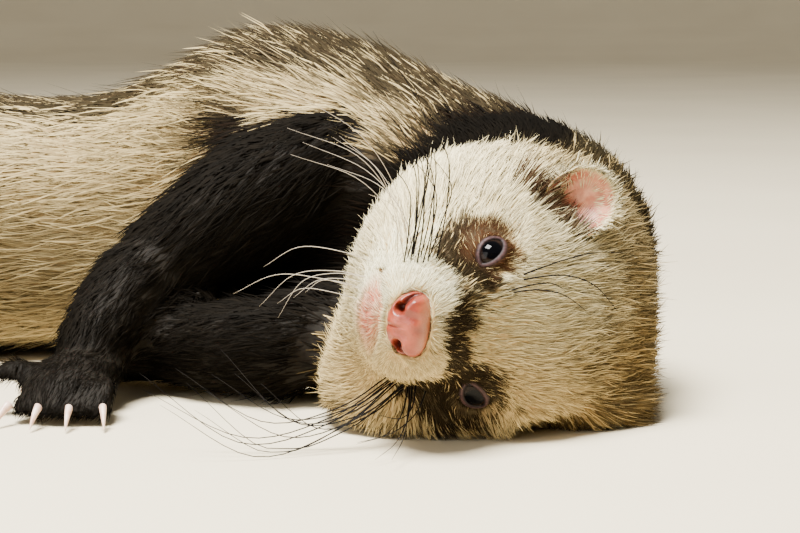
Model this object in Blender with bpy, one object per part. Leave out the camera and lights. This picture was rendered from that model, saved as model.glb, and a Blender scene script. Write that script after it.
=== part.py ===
"""A life-size ferret lying curled on its left side, the head resting on its left cheek.

Sizes are in millimetres and are scaled to metres where a mesh is made. +Z is up and the
floor is z = 0. The body is one long loft of rings from the muzzle to the tail's tip, parted
at named rings. Legs, ears, nose, eyes and claws are solids of their own, each cut clear of
what it grows from. The outline is the coat's outline, not the skin's.
"""

import math

import bmesh
import bpy
import numpy as np
from mathutils import Matrix, Vector
from mathutils.bvhtree import BVHTree

MM = 0.001
GAP = 0.3
# The gap is cut this much wider where the first try isn't clean
WIDER = 1.2
# The least share of a piece that a cut or a union may leave
LEAST_LEFT = 0.15
LEAST_JOINED = 0.999
SOLVERS = ("EXACT", "MANIFOLD")
# How far a corner may move past the growth of its faces
SHELL_MOST = 1.5
SHARP_DEG = 50.0
# The whole form of each piece by name, from before its own cuts
UNCUT = {}
UP = np.array((0.0, 0.0, 1.0))

# The head's own frame: f runs forward to the nose, u to the crown, r to the ferret's right.
# Its origin lies between the ear openings. It lies on its left cheek and faces -Y.
EYES_MIDDLE = np.array((15.4, 0.0, 23.5))
HEAD_YAW_DEG = 20.0
HEAD_RISE = 0.0436
HEAD_ROLL = 0.111
EYE_FRONT = np.array((31.8, 0.0, 5.4))
NOSE_TIP_F = 52.4

# Eyes
EYE_RADIUS = 4.3
EYE_CENTRE = np.array((28.6, 12.0, 4.6))
EYE_LOOK = np.array((0.79, 0.54, 0.28))
EYE_SIDES = (18, 9)
LID_THICKNESS = 1.0
LID_SIDES = 18
SOCKET_SIDES = 16
# The opening of the lids: its long axis, its length and height, and the cutter's places along
# the line of sight with its width at each
LID_AXIS = np.array((-0.60, 0.73, 0.33))
LID_OPENING = (6.4, 3.9)
LID_POINT = 1.25
LID_CUTTER = ((2.2, 0.9), (5.2, 1.05), (14.0, 1.6))
LID_CUTTER_SIDES = 20

# Rings of the head: forward place, crown, throat, half-width, level of the greatest width
HEAD_RINGS = (
    (50.6, -0.4, -5.4, 3.4, -3.0),
    (49.6, 2.0, -8.2, 6.0, -3.2),
    (47.4, 3.9, -11.4, 8.4, -4.0),
    (44.4, 5.6, -14.8, 10.4, -5.0),
    (40.0, 8.0, -17.6, 12.6, -5.6),
    (36.0, 10.4, -19.8, 14.4, -5.6),
    (32.0, 13.2, -22.0, 17.0, -5.2),
    (28.0, 16.2, -24.4, 20.8, -5.0),
    (22.0, 20.0, -27.6, 26.2, -4.4),
    (14.0, 24.2, -30.0, 30.6, -3.4),
    (4.0, 28.0, -31.4, 33.4, -2.4),
    (-6.0, 30.2, -29.5, 33.8, -1.6),
)

# Rings of the neck, trunk and tail: centre x, y, z, then how far the coat reaches from it
# to the back, to the belly and up. Each settles on the floor below.
BODY_RINGS = (
    (25.0, 61.0, 29.5, 29.5, 27.0, 30.5),
    (9.0, 90.0, 33.5, 31.0, 37.0, 33.5),
    (-28.0, 116.0, 39.5, 37.0, 41.0, 40.5),
    (-68.0, 127.0, 33.0, 37.0, 39.0, 31.5),
    (-108.0, 122.0, 32.0, 35.0, 38.0, 31.5),
    (-146.0, 103.0, 32.5, 36.0, 38.0, 33.0),
    (-177.0, 73.0, 33.0, 36.0, 37.0, 34.0),
    (-199.0, 42.0, 27.0, 28.0, 28.0, 26.5),
    (-211.0, 15.0, 18.0, 17.0, 17.0, 16.0),
    (-219.0, -14.0, 14.0, 13.5, 13.5, 13.0),
    (-220.0, -45.0, 13.4, 13.5, 13.5, 12.8),
    (-213.0, -76.0, 12.0, 12.0, 12.0, 11.5),
    (-200.0, -102.0, 9.0, 8.6, 8.6, 8.4),
    (-189.0, -118.0, 5.6, 4.4, 4.4, 4.6),
)
TAIL_TIP = np.array((-183.0, -126.0, 3.0))
# The last ring stands this far before the tip, with these reaches
TAIL_END = 3.0
TAIL_END_REACH = (2.6, 2.6, 2.6, 4.4)

# Where the long loft is parted: rings of the body after the last ring of the head
CUTS = {
    "neck": -0.85, "chest": 0.35, "belly": 2.35, "rump": 4.35,
    "tail_root": 7.6, "tail_middle": 9.4, "tail_tip": 11.2,
}

# The floor presses what lies on it flat, over a soft height that grows with the piece.
SOFT_SHARE = 0.3
SOFT_LEAST = 0.4
SOFT_MOST = 9.0
SOFT_DEPTH = 0.8
# The low part of thick rings sags outward
SAG = 0.07
SAG_FROM = 20.0
# The cheek and throat spread on the floor: from where, how high up, how far, and how much
# farther towards the throat. The muzzle, farther forward than these places, keeps its form.
SPREAD_FROM = np.array((21.0, 38.0, 0.0))
SPREAD_HEIGHT = 26.0
SPREAD_ALL_ROUND = 4.2
SPREAD_TO_THROAT = 8.0
SPREAD_F = (24.0, 38.0)
SPREAD_POWER = 1.4
# The spread ends this many rings behind the head
SPREAD_FADE = 0.6

RING_SIDES = 36
RING_STEP = {"head": 2.4, "neck": 6.0, "trunk": 11.0, "tail": 9.5}
ROUNDNESS = 2.25

# Swellings of the head: centre, reach, height, all in the head's frame. A negative one is a hollow.
HEAD_SWELLS = (
    ("whisker_pad", (43.5, 8.0, -6.5), 5.0, 1.5),
    ("eye_hollow", (33.0, 15.0, 5.0), 5.6, -2.4),
    ("brow", (27.0, 12.5, 12.5), 5.0, 0.9),
    ("cheek", (19.0, 25.0, -8.0), 8.0, 1.4),
    ("ear_hollow", (14.0, 24.5, 14.5), 6.0, -3.6),
)
STOP_HOLLOW = ((36.5, 0.0, 10.5), 5.0, -1.0)
CHIN_SWELL = ((44.0, 0.0, -15.0), 4.5, 0.8)

# The mouth's line from under the nose to its corner, right side, with its depth and width
MOUTH_LINE = (
    (49.0, 0.0, -9.1),
    (48.6, 2.4, -9.2),
    (47.6, 4.8, -9.9),
    (45.6, 7.2, -11.2),
    (42.4, 9.6, -12.3),
    (38.0, 12.0, -12.8),
    (33.8, 14.2, -12.2),
)
MOUTH_RADIUS = 0.75
GROOVE_SIDES = 6
GROOVE_STEP = 3.0

# Nose pad: rings from its root to its front, as place, half-height and half-width
NOSE_MIDDLE = (0.4, -3.0)
NOSE_RINGS = (
    (44.5, 3.2, 4.6),
    (47.5, 3.6, 5.9),
    (49.6, 3.8, 6.4),
    (51.2, 3.6, 6.0),
    (52.1, 2.9, 5.0),
    (NOSE_TIP_F, 1.7, 3.4),
)
NOSE_SIDES = 20
NOSE_ROUNDNESS = 2.5
# The pad is narrower at the lip by this share
NOSE_TAPER = 0.16
NOSTRIL_HOLE = ((53.8, 2.9, -4.2), (49.6, 4.1, -3.9))
NOSTRIL_HOLE_RADII = (1.35, 1.15)
NOSTRIL_HOLE_SIDES = 10
NOSTRIL_SLIT = ((50.9, 4.1, -3.5), (51.2, 5.6, -2.3), (50.2, 7.4, -0.8))
NOSTRIL_SLIT_RADII = (0.8, 0.75, 0.5)
NOSTRIL_STEP = 2.0
SLIT_STEP = 1.4
PHILTRUM = ((53.2, 0.0, -3.0), (52.3, 0.0, -4.9), (50.8, 0.0, -6.8), (48.8, 0.0, -8.6))
PHILTRUM_RADIUS = 0.45

# Ears: round cups. The right one stands free, the left one is pressed flat between head and
# floor. Each has its root, the way it rises and the way its cup opens, in the head's frame,
# and the cup's depth.
EARS = {
    "ear_right": ((10.8, 23.3, 15.6), (-0.45, 0.60, 0.66), (0.865, 0.236, 0.395), 3.4),
    "ear_left": ((0.0, -22.0, 23.0), (-0.62, 0.0, 0.78), (0.0, -1.0, 0.0), 1.0),
}
EAR_HEIGHT = 8.6
EAR_WIDTH = 15.0
EAR_SIDES = 18
EAR_RINGS = (0.4, 0.75, 1.0)
EAR_THICKNESS = 1.8
# The rim is thinner by this share, and the left ear is pressed to this share of its height
EAR_RIM_THIN = 0.45
EAR_PRESSED = 0.8

# Legs: joints from root to wrist or hock, with the coat's radius at each. Then where each foot
# begins and heads, and the turn of each toe in degrees with how far it is lifted.
LEGS = {
    "foreleg_right": {
        "upper": (((-6, 84, 47), 19.0), ((-30, 72, 40), 18.0), ((-50, 66, 28), 14.0)),
        "lower": (((-50, 66, 28), 13.2), ((-60, 56, 18.5), 11.4), ((-64, 46, 12), 10.0)),
        "paw": ((-63.5, 45.5, 8.6), (-0.3, -1.0, -0.06)),
        "toes": ((-24, 0.0), (-13, 0.0), (-2, 0.0), (12, 0.0), (48, 5.0)),
    },
    "foreleg_left": {
        "upper": (((8, 74, 18), 16.0), ((-8, 54, 14), 14.5), ((-22, 45, 12.5), 13.4)),
        "lower": (((-22, 45, 12.0), 13.0), ((-37, 50, 10.8), 11.4), ((-50, 60, 9.4), 9.6)),
        "paw": ((-49.0, 60.5, 6.6), (-0.96, 0.28, 0.0)),
        "toes": ((-30, 0.0), (-14, 0.0), (0, 0.0), (14, 0.0), (30, 0.0)),
    },
    "hindleg_right": {
        "upper": (((-172, 64, 44), 22.0), ((-156, 46, 41), 20.0), ((-138, 30, 34), 15.0)),
        "lower": (((-138, 30, 33), 14.0), ((-150, 12, 26), 10.5), ((-163, -3, 19), 8.6)),
        "paw": ((-162.0, -6.0, 15.0), (0.12, -1.0, -0.36)),
        "toes": ((-28, 0.0), (-13, 0.0), (0, 0.0), (13, 0.0), (28, 0.0)),
    },
    "hindleg_left": {
        "upper": (((-166, 58, 18), 18.0), ((-144, 42, 15), 16.0), ((-122, 24, 12.5), 12.5)),
        "lower": (((-122, 24, 12), 12.0), ((-124, 4, 9.5), 9.6), ((-130, -12, 8.4), 8.2)),
        "paw": ((-129.0, -14.0, 6.8), (0.42, -1.0, 0.0)),
        "toes": ((-28, 0.0), (-13, 0.0), (0, 0.0), (13, 0.0), (28, 0.0)),
    },
}
LEG_SIDES = 16
CAP_RINGS = ((0.92, 0.4), (0.6, 0.8))
LEG_STEP = 8.0

# Feet: sole length, half-width and half-height, its width at heel, middle and toes, then the toes
SOLE = {"foreleg": (17.0, 9.2, 6.2), "hindleg": (27.0, 8.6, 6.0)}
SOLE_WIDTHS = (0.84, 1.0, 0.92)
SOLE_SIDES = 14
SOLE_STEP = 5.5
SOLE_SOFT = 2.6
SOLE_HEEL = 2.0
SOLE_END_RISE = 6.4
TOE_TIP_RISE = 3.6
TOE_LENGTH = 9.5
TOE_RADIUS = 3.5
TOE_SPACING = 3.7
TOE_ROOT = 0.9
TOE_END = 0.86
TOE_KNUCKLE = 0.45
TOE_KNUCKLE_RISE = 0.6
# The outer toes start farther back, by this much times the square of their place from the middle
TOE_SET_BACK = 0.55
TOE_SINK = 1.0
TOE_SQUASH = 0.92
TOE_SIDES = 9
TOE_STEP = 4.4
TOE_SOFT = 1.6
CLAW_LENGTH = 5.2
CLAW_RADII = (1.1, 0.85, 0.3)
CLAW_DROP = 0.5
CLAW_TILT = 0.22
CLAW_BEND = 0.55
CLAW_BEND_RISE = 0.1
CLAW_SIDES = 6
CLAW_STEP = 2.2
CLAW_DEPTH = 1.25

COLOURS = {
    "cream_fur": (0.80, 0.72, 0.56, 0.9),
    "pale_fur": (0.86, 0.82, 0.73, 0.9),
    "sable_fur": (0.035, 0.028, 0.024, 0.9),
    "brown_fur": (0.22, 0.15, 0.10, 0.9),
    "nose_skin": (0.80, 0.36, 0.32, 0.45),
    "ear_skin": (0.78, 0.62, 0.55, 0.7),
    "eye_dark": (0.012, 0.010, 0.010, 0.08),
    "claw_horn": (0.72, 0.58, 0.48, 0.5),
}


def unit(v):
    v = np.asarray(v, float)
    return v / np.linalg.norm(v)


def head_axes():
    """The head's forward, right and crown directions."""
    yaw = math.radians(HEAD_YAW_DEG)
    forward = unit((-math.sin(yaw), -math.cos(yaw), HEAD_RISE))
    right = np.array((HEAD_ROLL, 0.0, 1.0))
    right = unit(right - forward * (right @ forward))
    return forward, right, np.cross(right, forward)


FORWARD, RIGHT, CROWN = head_axes()
HEAD_AXES = np.array((FORWARD, RIGHT, CROWN))
HEAD_ORIGIN = EYES_MIDDLE - EYE_FRONT @ HEAD_AXES


def from_head(points):
    """Points (f, r, u) of the head's frame, in the world."""
    return np.asarray(points, float) @ HEAD_AXES + HEAD_ORIGIN


def mirrored(point, side):
    """A point or direction of the head's frame on the right (1) or left (-1)."""
    return np.asarray(point, float) * (1.0, side, 1.0)


def curve_through(rows, at, knots=None):
    """Rows of numbers joined by smooth cubics, read at the places asked for."""
    rows = np.asarray(rows, float)
    if knots is None:
        knots = np.arange(len(rows), dtype=float)
    slope = np.gradient(rows, knots, axis=0)
    k = np.clip(np.searchsorted(knots, at, side="right") - 1, 0, len(knots) - 2)
    h = (knots[k + 1] - knots[k])[:, None]
    t = ((at - knots[k]) / h[:, 0])[:, None]
    a, b = rows[k], rows[k + 1]
    ma, mb = slope[k] * h, slope[k + 1] * h
    return (
        (2 * t**3 - 3 * t**2 + 1) * a
        + (t**3 - 2 * t**2 + t) * ma
        + (3 * t**2 - 2 * t**3) * b
        + (t**3 - t**2) * mb
    )


def body_stations():
    """Each station of the long loft: centre, tailward, back and up directions, and its reach
    to the back, the belly, up and down."""
    rows = []
    for f, crown, throat, half, level in HEAD_RINGS:
        centre = from_head((f, 0.0, level))
        low = min(half, centre[2] + SOFT_MOST)
        rows.append((*centre, *-FORWARD, *CROWN, *RIGHT, crown - level, level - throat, half, low))
    centres = np.array([row[:3] for row in BODY_RINGS])
    path = np.vstack([from_head((HEAD_RINGS[-1][0], 0, 0)), centres, TAIL_TIP])
    for i, (x, y, z, back, belly, top) in enumerate(BODY_RINGS):
        tailward = unit(path[i + 2] - path[i])
        backward = unit(np.cross(tailward, UP))
        upward = np.cross(backward, tailward)
        low = z + soft_height(top) * SOFT_DEPTH
        rows.append((x, y, z, *tailward, *backward, *upward, back, belly, top, low))
    return np.array(rows)


def soft_height(top):
    return min(SOFT_MOST, SOFT_SHARE * top + SOFT_LEAST)


def settle(points, soft):
    """The floor flattens what would pass through it, and the low part spreads a little."""
    points = points.copy()
    share = (points[:, 2] / soft + SOFT_DEPTH) / (1 + SOFT_DEPTH)
    pressed = soft * np.clip(share, 0, None) ** (1 + SOFT_DEPTH)
    points[:, 2] = np.where(points[:, 2] < soft, pressed, points[:, 2])
    return points


def swell(points, centre, reach, height, outward):
    """Pushes points near a centre along their outward directions."""
    distance = np.linalg.norm(points - centre, axis=1)
    return points + outward * (height * np.exp(-((distance / reach) ** 2)))[:, None]


def ring_points(row):
    """One ring of the long loft, before the head's swellings and the floor."""
    centre, backward, upward = row[0:3], row[6:9], row[9:12]
    back, belly, top, low = row[12:16]
    angles = np.arange(RING_SIDES) * 2 * math.pi / RING_SIDES
    cos, sin = np.cos(angles), np.sin(angles)
    power = 2 / ROUNDNESS
    across = np.sign(cos) * np.abs(cos) ** power
    height = np.sign(sin) * np.abs(sin) ** power
    sag = SAG if low > SAG_FROM else 0.0
    across = across * np.where(cos > 0, back, belly) * (1 + sag * np.clip(-height, 0, 1))
    height = height * np.where(sin > 0, top, low)
    return centre + np.outer(across, backward) + np.outer(height, upward)


def with_head_form(points):
    """The head's swellings and hollows, on both sides."""
    centre = HEAD_ORIGIN + FORWARD * ((points - HEAD_ORIGIN) @ FORWARD).mean()
    outward = points - centre
    outward /= np.linalg.norm(outward, axis=1)[:, None] + 1e-9
    for side in (1, -1):
        for _, where, reach, height in HEAD_SWELLS:
            points = swell(points, from_head(mirrored(where, side)), reach, height, outward)
    for where, reach, height in (STOP_HOLLOW, CHIN_SWELL):
        points = swell(points, from_head(where), reach, height, outward)
    return points


def spread_on_floor(points):
    """The low part of the head bulges outward, most on the throat's side."""
    away = points - SPREAD_FROM
    away[:, 2] = 0.0
    away /= np.linalg.norm(away, axis=1)[:, None]
    lowness = np.clip(1 - points[:, 2] / SPREAD_HEIGHT, 0, 1) ** SPREAD_POWER
    ahead = (points - HEAD_ORIGIN) @ FORWARD
    keep = np.clip((SPREAD_F[1] - ahead) / (SPREAD_F[1] - SPREAD_F[0]), 0, 1)
    reach = SPREAD_ALL_ROUND + SPREAD_TO_THROAT * np.clip(-away[:, 0], 0, 1)
    return points + away * (reach * lowness * keep)[:, None]


def body_ring(stations, t):
    """The finished ring at place t of the long loft, with its tailward direction."""
    row = curve_through(stations, np.array([t]))[0]
    for part in (slice(3, 6), slice(6, 9), slice(9, 12)):
        row[part] = unit(row[part])
    points = ring_points(row)
    if t < len(HEAD_RINGS):
        points = with_head_form(points)
    points = settle(points, soft_height(row[14]))
    fade = np.clip(len(HEAD_RINGS) + SPREAD_FADE - t, 0, 1)
    points += (spread_on_floor(points) - points) * fade
    return points, row[3:6]


def loft(name, rings, start=None, end=None):
    """A closed mesh through rings of points. Its ends are fans to the given or middle points."""
    sides = len(rings[0])
    start = rings[0].mean(axis=0) if start is None else start
    end = rings[-1].mean(axis=0) if end is None else end
    mesh = bmesh.new()
    loops = [[mesh.verts.new(Vector(p * MM)) for p in ring] for ring in rings]
    first, last = mesh.verts.new(Vector(start * MM)), mesh.verts.new(Vector(end * MM))
    for a, b in zip(loops, loops[1:]):
        for i in range(sides):
            j = (i + 1) % sides
            mesh.faces.new((a[i], a[j], b[j], b[i]))
    for i in range(sides):
        j = (i + 1) % sides
        mesh.faces.new((first, loops[0][j], loops[0][i]))
        mesh.faces.new((last, loops[-1][i], loops[-1][j]))
    return finished(name, mesh)


def finished(name, mesh):
    """Makes an object of a bmesh, with its faces pointing out."""
    bmesh.ops.recalc_face_normals(mesh, faces=mesh.faces)
    if mesh.calc_volume(signed=True) < 0:
        bmesh.ops.reverse_faces(mesh, faces=mesh.faces)
    data = bpy.data.meshes.new(name)
    mesh.to_mesh(data)
    mesh.free()
    data.shade_smooth()
    data.set_sharp_from_angle(angle=math.radians(SHARP_DEG))
    made = bpy.data.objects.new(name, data)
    bpy.context.collection.objects.link(made)
    return made


def tube(name, path, radii, sides=LEG_SIDES, step=LEG_STEP, squash=1.0, soft=None, ends="both", over=UP):
    """A tube along a smooth path, rounded at both ends or only the far end. Squash flattens it
    in height. Over is a direction that the path never follows."""
    path = np.asarray(path, float)
    rows = np.hstack([path, np.asarray(radii, float)[:, None]])
    lengths = np.linalg.norm(np.diff(path, axis=0), axis=1)
    knots = np.concatenate([[0], np.cumsum(lengths)])
    count = max(3, round(knots[-1] / step) + 1)
    at = np.linspace(0, knots[-1], count)
    rows = curve_through(rows, at, knots)
    tangents = np.gradient(rows[:, :3], axis=0)
    rings = []
    angles = np.arange(sides) * 2 * math.pi / sides
    near = ends == "both"

    def ring(centre, tangent, radius):
        across = unit(np.cross(tangent, over))
        upward = np.cross(across, unit(tangent)) * squash
        return centre + radius * (np.outer(np.cos(angles), across) + np.outer(np.sin(angles), upward))

    for along, share in CAP_RINGS if near else ():
        centre = rows[0, :3] - unit(tangents[0]) * rows[0, 3] * along
        rings.append(ring(centre, tangents[0], rows[0, 3] * share))
    for row, tangent in zip(rows, tangents):
        rings.append(ring(row[:3], tangent, row[3]))
    for along, share in reversed(CAP_RINGS):
        centre = rows[-1, :3] + unit(tangents[-1]) * rows[-1, 3] * along
        rings.append(ring(centre, tangents[-1], rows[-1, 3] * share))
    first = rows[0, :3] - unit(tangents[0]) * rows[0, 3] * near
    last = rows[-1, :3] + unit(tangents[-1]) * rows[-1, 3]
    if soft:
        rings = [settle(points, soft) for points in rings]
        first, last = settle(np.array((first, last)), soft)
    return loft(name, rings, first, last)


def helper(obj):
    obj.hide_render = True
    obj.display_type = "WIRE"
    return obj


def grown_data(obj, by):
    """A copy of a piece as it was before its own cuts, with its surface pushed out."""
    mesh = bmesh.new()
    mesh.from_mesh(UNCUT.get(obj.name, obj.data))
    mesh.normal_update()
    moves = [vert.normal * by * min(vert.calc_shell_factor(), SHELL_MOST) * MM for vert in mesh.verts]
    for vert, move in zip(mesh.verts, moves):
        vert.co += move
    data = bpy.data.meshes.new(obj.name + ".grown")
    mesh.to_mesh(data)
    mesh.free()
    return data


def evaluated_mesh(obj):
    bpy.context.view_layer.update()
    graph = bpy.context.evaluated_depsgraph_get()
    return bpy.data.meshes.new_from_object(obj.evaluated_get(graph))


def largest_body(data):
    """Leaves only the largest closed surface of a mesh."""
    mesh = bmesh.new()
    mesh.from_mesh(data)
    mesh.faces.ensure_lookup_table()
    todo, groups = set(mesh.faces), []
    while todo:
        group, edge_of = set(), [todo.pop()]
        while edge_of:
            face = edge_of.pop()
            group.add(face)
            for edge in face.edges:
                for other in edge.link_faces:
                    if other in todo:
                        todo.remove(other)
                        edge_of.append(other)
        groups.append(group)
    if len(groups) > 1:
        groups.sort(key=lambda group: sum(face.calc_area() for face in group))
        scraps = [face for group in groups[:-1] for face in group]
        bmesh.ops.delete(mesh, geom=scraps, context="FACES")
        mesh.to_mesh(data)
    mesh.free()


def closed_volume(data):
    """The volume of a mesh, or nothing where it isn't closed."""
    mesh = bmesh.new()
    mesh.from_mesh(data)
    closed = all(len(edge.link_faces) == 2 for edge in mesh.edges)
    volume = mesh.calc_volume(signed=True)
    mesh.free()
    return volume if closed else 0.0


def keep_uncut(obj):
    """Remembers a piece's whole form, which later cuts its neighbours."""
    if obj.name not in UNCUT:
        UNCUT[obj.name] = obj.data.copy()


def attempt(obj, other, operation, solver):
    """The mesh that one Boolean would leave, reduced to its largest body."""
    modifier = obj.modifiers.new(operation.title(), "BOOLEAN")
    modifier.operation = operation
    modifier.object = other
    modifier.solver = solver
    data = evaluated_mesh(obj)
    obj.modifiers.clear()
    largest_body(data)
    return data


def tree_of(data):
    points = [vert.co for vert in data.vertices]
    return BVHTree.FromPolygons(points, [face.vertices for face in data.polygons])


def combine(obj, others, operation):
    """Joins or cuts a mesh with others, one at a time, and applies each step."""
    for other in others:
        before = closed_volume(obj.data)
        least = before * (LEAST_JOINED if operation == "UNION" else LEAST_LEFT)
        for solver in SOLVERS:
            data = attempt(obj, other, operation, solver)
            if closed_volume(data) > least:
                break
        obj.data = data
        bpy.data.objects.remove(other)
    return obj


def cut_clear(obj, neighbours):
    """Cuts a piece so that it meets its neighbours face to face, a gap apart."""
    keep_uncut(obj)
    for other in neighbours:
        solid = tree_of(other.data)
        if not tree_of(obj.data).overlap(tree_of(grown_data(other, GAP))):
            continue
        least = closed_volume(obj.data) * LEAST_LEFT
        tries = [(by, solver) for by in (GAP, GAP * WIDER) for solver in SOLVERS]
        for by, solver in tries:
            cutter = bpy.data.objects.new("cutter", grown_data(other, by))
            bpy.context.collection.objects.link(helper(cutter))
            data = attempt(obj, cutter, "DIFFERENCE", solver)
            bpy.data.objects.remove(cutter)
            if closed_volume(data) > least and not tree_of(data).overlap(solid):
                obj.data = data
                break
    return obj


def paint(obj, colour):
    red, green, blue, roughness = COLOURS[colour]
    material = bpy.data.materials.get(colour)
    if material is None:
        material = bpy.data.materials.new(colour)
        material.use_nodes = True
        shader = material.node_tree.nodes["Principled BSDF"]
        shader.inputs["Base Color"].default_value = (red, green, blue, 1.0)
        shader.inputs["Roughness"].default_value = roughness
        shader.inputs["Metallic"].default_value = 0.0
    obj.data.materials.clear()
    obj.data.materials.append(material)


def body_length(name, stations, first, last, step, cap_first=None, cap_last=None):
    """A length of the long loft between two of its places, drawn in by half a gap at each cut."""
    centres = stations[:, 0:3]
    span = np.linalg.norm(np.diff(centres, axis=0), axis=1)
    at, places = float(first), [float(first)]
    while at < last - 1e-9:
        at += step / span[min(int(at + 1e-9), len(span) - 1)]
        places.append(at)
    places = np.array(places)
    places = first + (places - first) * (last - first) / (places[-1] - first)
    rings = []
    for i, t in enumerate(places):
        points, tailward = body_ring(stations, t)
        if i == 0 and cap_first is None:
            points = points + tailward * GAP / 2
        if i == len(places) - 1 and cap_last is None:
            points = points - tailward * GAP / 2
        points[:, 2] = np.maximum(points[:, 2], 0.0)
        rings.append(points)
    return loft(name, rings, cap_first, cap_last)


def make_trunk(stations):
    """Head, neck, chest, belly, rump and three lengths of tail, as one run of rings."""
    kinds = {"head": "head", "neck": "neck"}
    names = ["head", *CUTS]
    places = [0, *(len(HEAD_RINGS) + cut for cut in CUTS.values()), len(stations) - 1]
    made = {}
    for name, first, last in zip(names, places, places[1:]):
        kind = kinds.get(name, "tail" if name.startswith("tail") else "trunk")
        cap_first = from_head((HEAD_RINGS[0][0] + 0.5, 0, -3.0)) if name == "head" else None
        cap_last = TAIL_TIP if name == names[-1] else None
        made[name] = body_length(name, stations, first, last, RING_STEP[kind], cap_first, cap_last)
    return made


def make_nose():
    """The nose pad with its comma-shaped nostrils and the groove under them."""
    angles = np.arange(NOSE_SIDES) * 2 * math.pi / NOSE_SIDES
    power = 2 / NOSE_ROUNDNESS
    middle, level = NOSE_MIDDLE
    rings = []
    for f, height, width in NOSE_RINGS:
        across = np.sign(np.cos(angles)) * np.abs(np.cos(angles)) ** power * width
        rise = np.sign(np.sin(angles)) * np.abs(np.sin(angles)) ** power * height
        across = across * (1 - NOSE_TAPER * np.clip(-rise / height, 0, 1))
        rings.append(from_head(np.column_stack([np.full(NOSE_SIDES, f), middle + across, level + rise])))
    nose = loft("nose", rings)
    radii = [PHILTRUM_RADIUS] * len(PHILTRUM)
    grooves = [helper(tube("philtrum", from_head(PHILTRUM), radii, GROOVE_SIDES, NOSTRIL_STEP, over=RIGHT))]
    for side in (1, -1):
        hole = from_head([mirrored(p, side) for p in NOSTRIL_HOLE])
        slit = from_head([mirrored(p, side) for p in NOSTRIL_SLIT])
        cut = tube("nostril", hole, NOSTRIL_HOLE_RADII, NOSTRIL_HOLE_SIDES, NOSTRIL_STEP)
        grooves.append(helper(cut))
        cut = tube("nostril_slit", slit, NOSTRIL_SLIT_RADII, GROOVE_SIDES, SLIT_STEP, over=FORWARD)
        grooves.append(helper(cut))
    keep_uncut(nose)
    return combine(nose, grooves, "DIFFERENCE")


def make_eye(name, side):
    mesh = bmesh.new()
    bmesh.ops.create_uvsphere(mesh, u_segments=EYE_SIDES[0], v_segments=EYE_SIDES[1], radius=EYE_RADIUS * MM)
    made = finished(name, mesh)
    look = Vector(unit(mirrored(EYE_LOOK, side) @ HEAD_AXES))
    turn = look.to_track_quat("Z", "Y").to_matrix().to_4x4()
    made.data.transform(turn)
    made.data.transform(shift_to(from_head(mirrored(EYE_CENTRE, side))))
    return made


def shift_to(place):
    return Matrix.Translation(Vector(place * MM))


def lid_cutter(side):
    """An almond-shaped rod along the eye's line of sight, which opens the lids."""
    look = unit(mirrored(EYE_LOOK, side) @ HEAD_AXES)
    centre = from_head(mirrored(EYE_CENTRE, side))
    axis = mirrored(LID_AXIS, side) @ HEAD_AXES
    along = unit(axis - look * (look @ axis))
    across = np.cross(look, along)
    length, height = LID_OPENING[0] / 2, LID_OPENING[1] / 2
    angles = np.arange(LID_CUTTER_SIDES) * 2 * math.pi / LID_CUTTER_SIDES
    pointed = np.sign(np.sin(angles)) * np.abs(np.sin(angles)) ** LID_POINT
    outline = np.outer(np.cos(angles) * length, along) + np.outer(pointed * height, across)
    rings = [centre + look * reach + outline * wide for reach, wide in LID_CUTTER]
    return helper(loft("lid_opening", rings))


def ball(name, centre, radius, sides):
    mesh = bmesh.new()
    bmesh.ops.create_uvsphere(mesh, u_segments=sides, v_segments=sides // 2 + 2, radius=radius * MM)
    made = finished(name, mesh)
    made.data.transform(shift_to(centre))
    return helper(made)


def finish_head(head, set_in):
    """Adds the lids, and cuts the sockets, the mouth's line and the seats of the set-in pieces."""
    keep_uncut(head)
    lids, sockets, openings = [], [], []
    for side in (1, -1):
        centre = from_head(mirrored(EYE_CENTRE, side))
        lids.append(ball("lids", centre, EYE_RADIUS + GAP + LID_THICKNESS, LID_SIDES))
        sockets.append(ball("socket", centre, EYE_RADIUS + GAP, SOCKET_SIDES))
        openings.append(lid_cutter(side))
    combine(head, lids, "UNION")
    combine(head, openings, "DIFFERENCE")
    combine(head, sockets, "DIFFERENCE")
    route = [mirrored(p, -1) for p in reversed(MOUTH_LINE)] + list(MOUTH_LINE[1:])
    radii = [MOUTH_RADIUS] * len(route)
    mouth = tube("mouth_line", from_head(route), radii, GROOVE_SIDES, GROOVE_STEP, over=CROWN)
    combine(head, [helper(mouth)], "DIFFERENCE")
    cut_clear(head, set_in)


def make_ear(name, neighbours):
    """A round cup: rings about its middle, sunk towards it, with a thinner rim."""
    root, rise, face, cup = (np.array(part) for part in EARS[name])
    rise = unit(rise @ HEAD_AXES)
    face = face @ HEAD_AXES
    face = unit(face - rise * (face @ rise))
    wide = np.cross(rise, face)
    root = from_head(root)
    angles = np.arange(EAR_SIDES) * 2 * math.pi / EAR_SIDES
    outline = np.outer(np.cos(angles) * EAR_WIDTH / 2, wide) + np.outer(np.sin(angles) * EAR_HEIGHT, rise)
    sheets = []
    for facing in (1, -1):
        middle = root - face * (cup - facing * EAR_THICKNESS / 2)
        rings = [root + outline * r - face * (cup * (1 - r * r)) for r in EAR_RINGS]
        thin = [facing * EAR_THICKNESS / 2 * (1 - EAR_RIM_THIN * r**4) for r in EAR_RINGS]
        sheets.append((middle, [ring + face * by for ring, by in zip(rings, thin)]))
    (front, front_rings), (back, back_rings) = sheets
    rings = front_rings + back_rings[::-1]
    if name == "ear_left":
        lowest = min(ring[:, 2].min() for ring in rings)
        for ring in rings:
            ring[:, 2] = (ring[:, 2] - lowest) * EAR_PRESSED
        front[2] = (front[2] - lowest) * EAR_PRESSED
        back[2] = (back[2] - lowest) * EAR_PRESSED
    return cut_clear(loft(name, rings, front, back), neighbours)


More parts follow.
